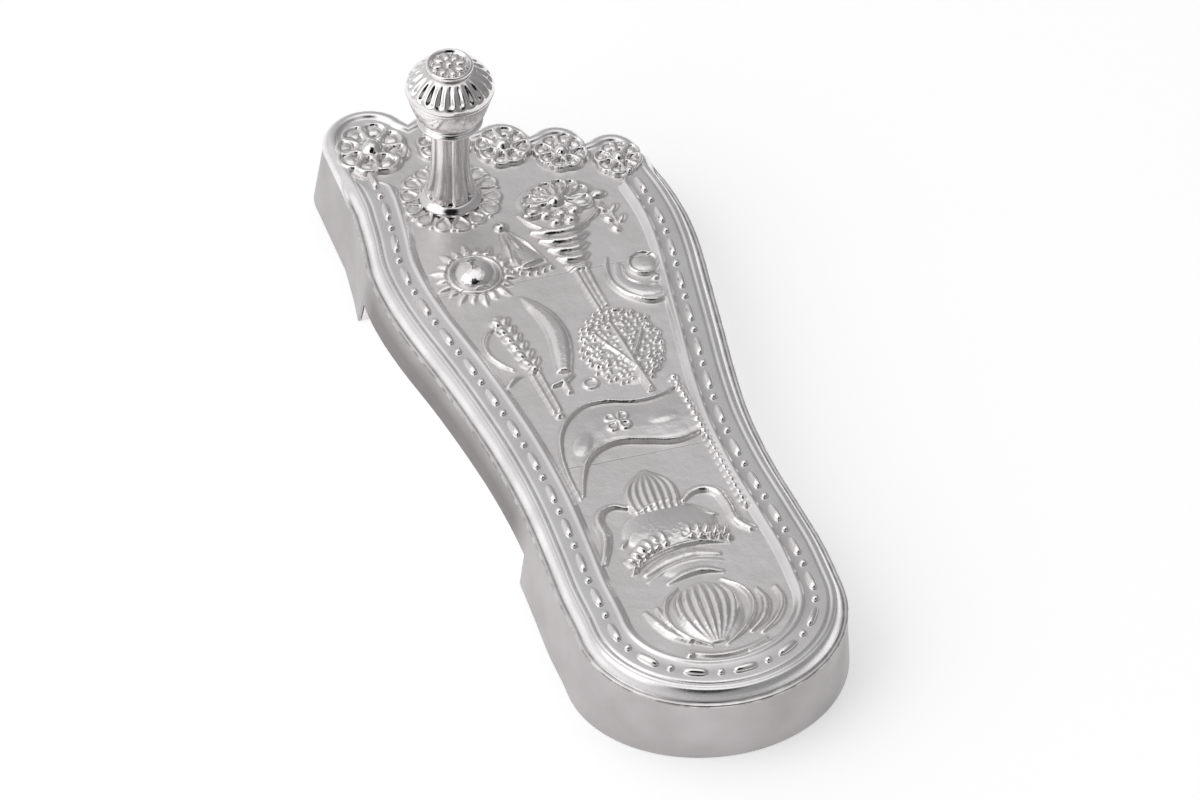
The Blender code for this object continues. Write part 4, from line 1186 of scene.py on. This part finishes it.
def makeCap():
    rows = [(12.2, 65.0), (12.5, 65.15), (12.5, 65.5), (12.35, 66.2), (12.0, 67.1), (11.4, 68.1), (10.6, 69.1),
            (9.6, 70.1), (8.5, 70.9), (7.4, 71.5), (6.4, 71.9), (5.2, 72.0)]
    inner = [(5.2, 70.2), (7.2, 68.8), (9.2, 67.0), (10.6, 65.8), (11.4, 65.0)]
    piece = spinPiece("cap", smoothRows(rows, 5) + inner, cap["flutes"] * 10, closed=True)

    def flute(angle, radius, height):
        share = (radius - cap["near"]) / (cap["far"] - cap["near"])
        if share <= 0.0 or share >= 1.0 or height < 65.6 or height < capUnder(radius):
            return radius, height
        hollow = 1.0 - abs(math.sin(0.5 * cap["flutes"] * angle)) ** 2.2
        ends = smoothStep((1.0 - share) / 0.2) * smoothStep(share / 0.35) * (0.3 + 0.7 * share ** 1.5)
        drop = cap["depth"] * hollow * ends
        slope = math.atan2(height - 60.0, radius)
        return radius - drop * math.cos(slope), height - drop * math.sin(slope)

    shapeRound(piece, flute)
    finishPiece(piece, "cap", knobFinish("capSilver"), ["knob_cap"], 50)


def makeMedallion():
    rows = [(0.0, 73.5), (1.6, 73.5), (3.4, 73.3), (4.9, 73.15), (5.35, 73.3), (5.7, 73.75), (6.1, 73.95),
            (6.5, 73.75), (6.7, 73.3), (6.6, 72.7), (6.2, 72.35)]
    pieces = [spinPiece("medallionDisc", smoothRows(rows, 3) + [(0.0, 72.35)], 96)]
    template = ballTemplate(16, 10)

    def crownPoint(angle, radius, height):
        out = Vector((math.sin(angle), -math.cos(angle), 0.0))
        return Vector((axis.x, axis.y, height * mm)) + out * radius * mm

    for index in range(8):               # a petal and a bead in turn
        angle = 2 * math.pi * index / 8
        pieces.append(placeCopy(
            template, crownPoint(angle, 3.3, 73.4), math.degrees(angle), (1.15, 1.7, 0.75)))
        pieces.append(placeCopy(template, crownPoint(angle + math.pi / 8, 4.7, 73.3), 0.0, (0.5, 0.5, 0.5)))
    pieces.append(placeCopy(template, crownPoint(0.0, 0.0, 73.6), 0.0, (1.25, 1.25, 0.95)))
    bpy.data.objects.remove(template)
    whole = joinPieces(pieces, "medallion")
    finishPiece(whole, "medallion", knobFinish("medallionSilver"), ["knob_medallion"], 60)


for make in (makeFootRing, makeStem, makeCollar, makeBowl, makeCap, makeMedallion):
    make()
print("knob made")


soleLook = {
    "gloss": {"low": 0.36, "high": 0.5}, "cloud": {"scale": 40.0},
    "grain": {"stretch": (1.0, 0.12, 1.0), "scale": 1800.0, "rough": 0.12, "depth": 0.03},
    "tarnish": {"open": 0.49, "deep": 0.40, "strength": 0.5},
}


def makeSole():                          # the CAD plate has the right shape and takes a worn satin finish
    plate = frame["nodes"]["sole_plate"]
    plate.data.materials.clear()
    plate.data.materials.append(silverFinish("soleSilver", **soleLook))


makeSole()

# The camera stands at azimuth -16 and elevation 45.5 and is rolled as the photograph is. All places in metres
studio = {
    "camera": (-0.386, -1.2546, 1.3201), "aim": (0.003, -0.004, 0.018), "roll": 0.94, "lens": 200.0,
    "floor": (0.88, 0.88, 0.88), "floorSize": 6.0, "floorRough": 0.9, "glow": 0.42,
}
# The light tent. Each share is added where its direction lies between the two bounds; the opening for the
# camera is dark, and its bounds are degrees
tent = {
    "base": 0.38, "wall": (0.07, 0.0, 0.7), "roof": (0.60, 0.78, 0.96), "left": (0.32, 0.06, 0.62),
    "right": (0.12, 0.10, 0.55), "front": (0.15, 0.0, 0.7), "opening": (0.985, 26, 21),
    "lamp": (-1.35, -0.25, 1.15), "lampSize": 1.6, "lampPower": 6.5,
}


def makeCamera():
    camera = bpy.data.objects.new("camera", bpy.data.cameras.new("camera"))
    bpy.context.scene.collection.objects.link(camera)
    position = Vector(studio["camera"])
    camera.location = position
    facing = (Vector(studio["aim"]) - position).to_track_quat("-Z", "Y")
    roll = Matrix.Rotation(math.radians(studio["roll"]), 3, "Z")
    camera.rotation_euler = (facing.to_matrix() @ roll).to_euler()
    camera.data.lens = studio["lens"]
    camera.data.clip_end = 20.0
    bpy.context.scene.camera = camera


def makeFloor():
    bpy.ops.mesh.primitive_plane_add(size=studio["floorSize"], location=(0.0, 0.0, 0.0))
    floor = bpy.context.object
    floor.name = "floor"
    paper = Finish("paperFloor")
    paper.feed("Base Color", (*studio["floor"], 1.0))
    paper.feed("Roughness", studio["floorRough"])
    paper.feed("Emission Color", (1.0, 1.0, 1.0, 1.0))
    paper.feed("Emission Strength", studio["glow"])       # a lit table
    floor.data.materials.append(paper.material)


def makeLights():
    bpy.context.scene.view_settings.view_transform = "Standard"
    world = bpy.data.worlds.new("studio")
    bpy.context.scene.world = world
    world.use_nodes = True
    tree = world.node_tree
    where = Wire(tree, tree.nodes.new("ShaderNodeTexCoord").outputs["Generated"])
    split = tree.nodes.new("ShaderNodeSeparateXYZ")
    tree.links.new(where.socket, split.inputs[0])
    across, along, height = (Wire(tree, split.outputs[index]) for index in range(3))
    opening = Vector(studio["camera"]).normalized()
    level = Vector((opening.x, opening.y)).normalized()
    facing = across * opening.x + along * opening.y + height * opening.z
    toward = across * level.x + along * level.y
    left = across * level.y - along * level.x

    def share(part, direction):
        return tent[part][0] * direction.between(*tent[part][1:])

    light = tent["base"] + share("wall", height) + share("roof", height)
    light = light + share("left", left) - share("right", 0.0 - left)
    light = light * (1 - share("front", toward))
    dark, *edges = tent["opening"]
    light = light * (1 - dark * facing.between(*(math.cos(math.radians(edge)) for edge in edges)))
    tree.links.new(light.socket, tree.nodes["Background"].inputs["Strength"])
    tree.nodes["Background"].inputs["Color"].default_value = (1.0, 1.0, 1.0, 1.0)
    lamp = bpy.data.lights.new("softbox", "AREA")
    lamp.energy = tent["lampPower"]
    lamp.size = tent["lampSize"]
    box = bpy.data.objects.new("softbox", lamp)
    bpy.context.scene.collection.objects.link(box)
    box.location = tent["lamp"]
    box.rotation_euler = (-box.location).to_track_quat("-Z", "Y").to_euler()


makeCamera()
makeFloor()
makeLights()
print("studio set")
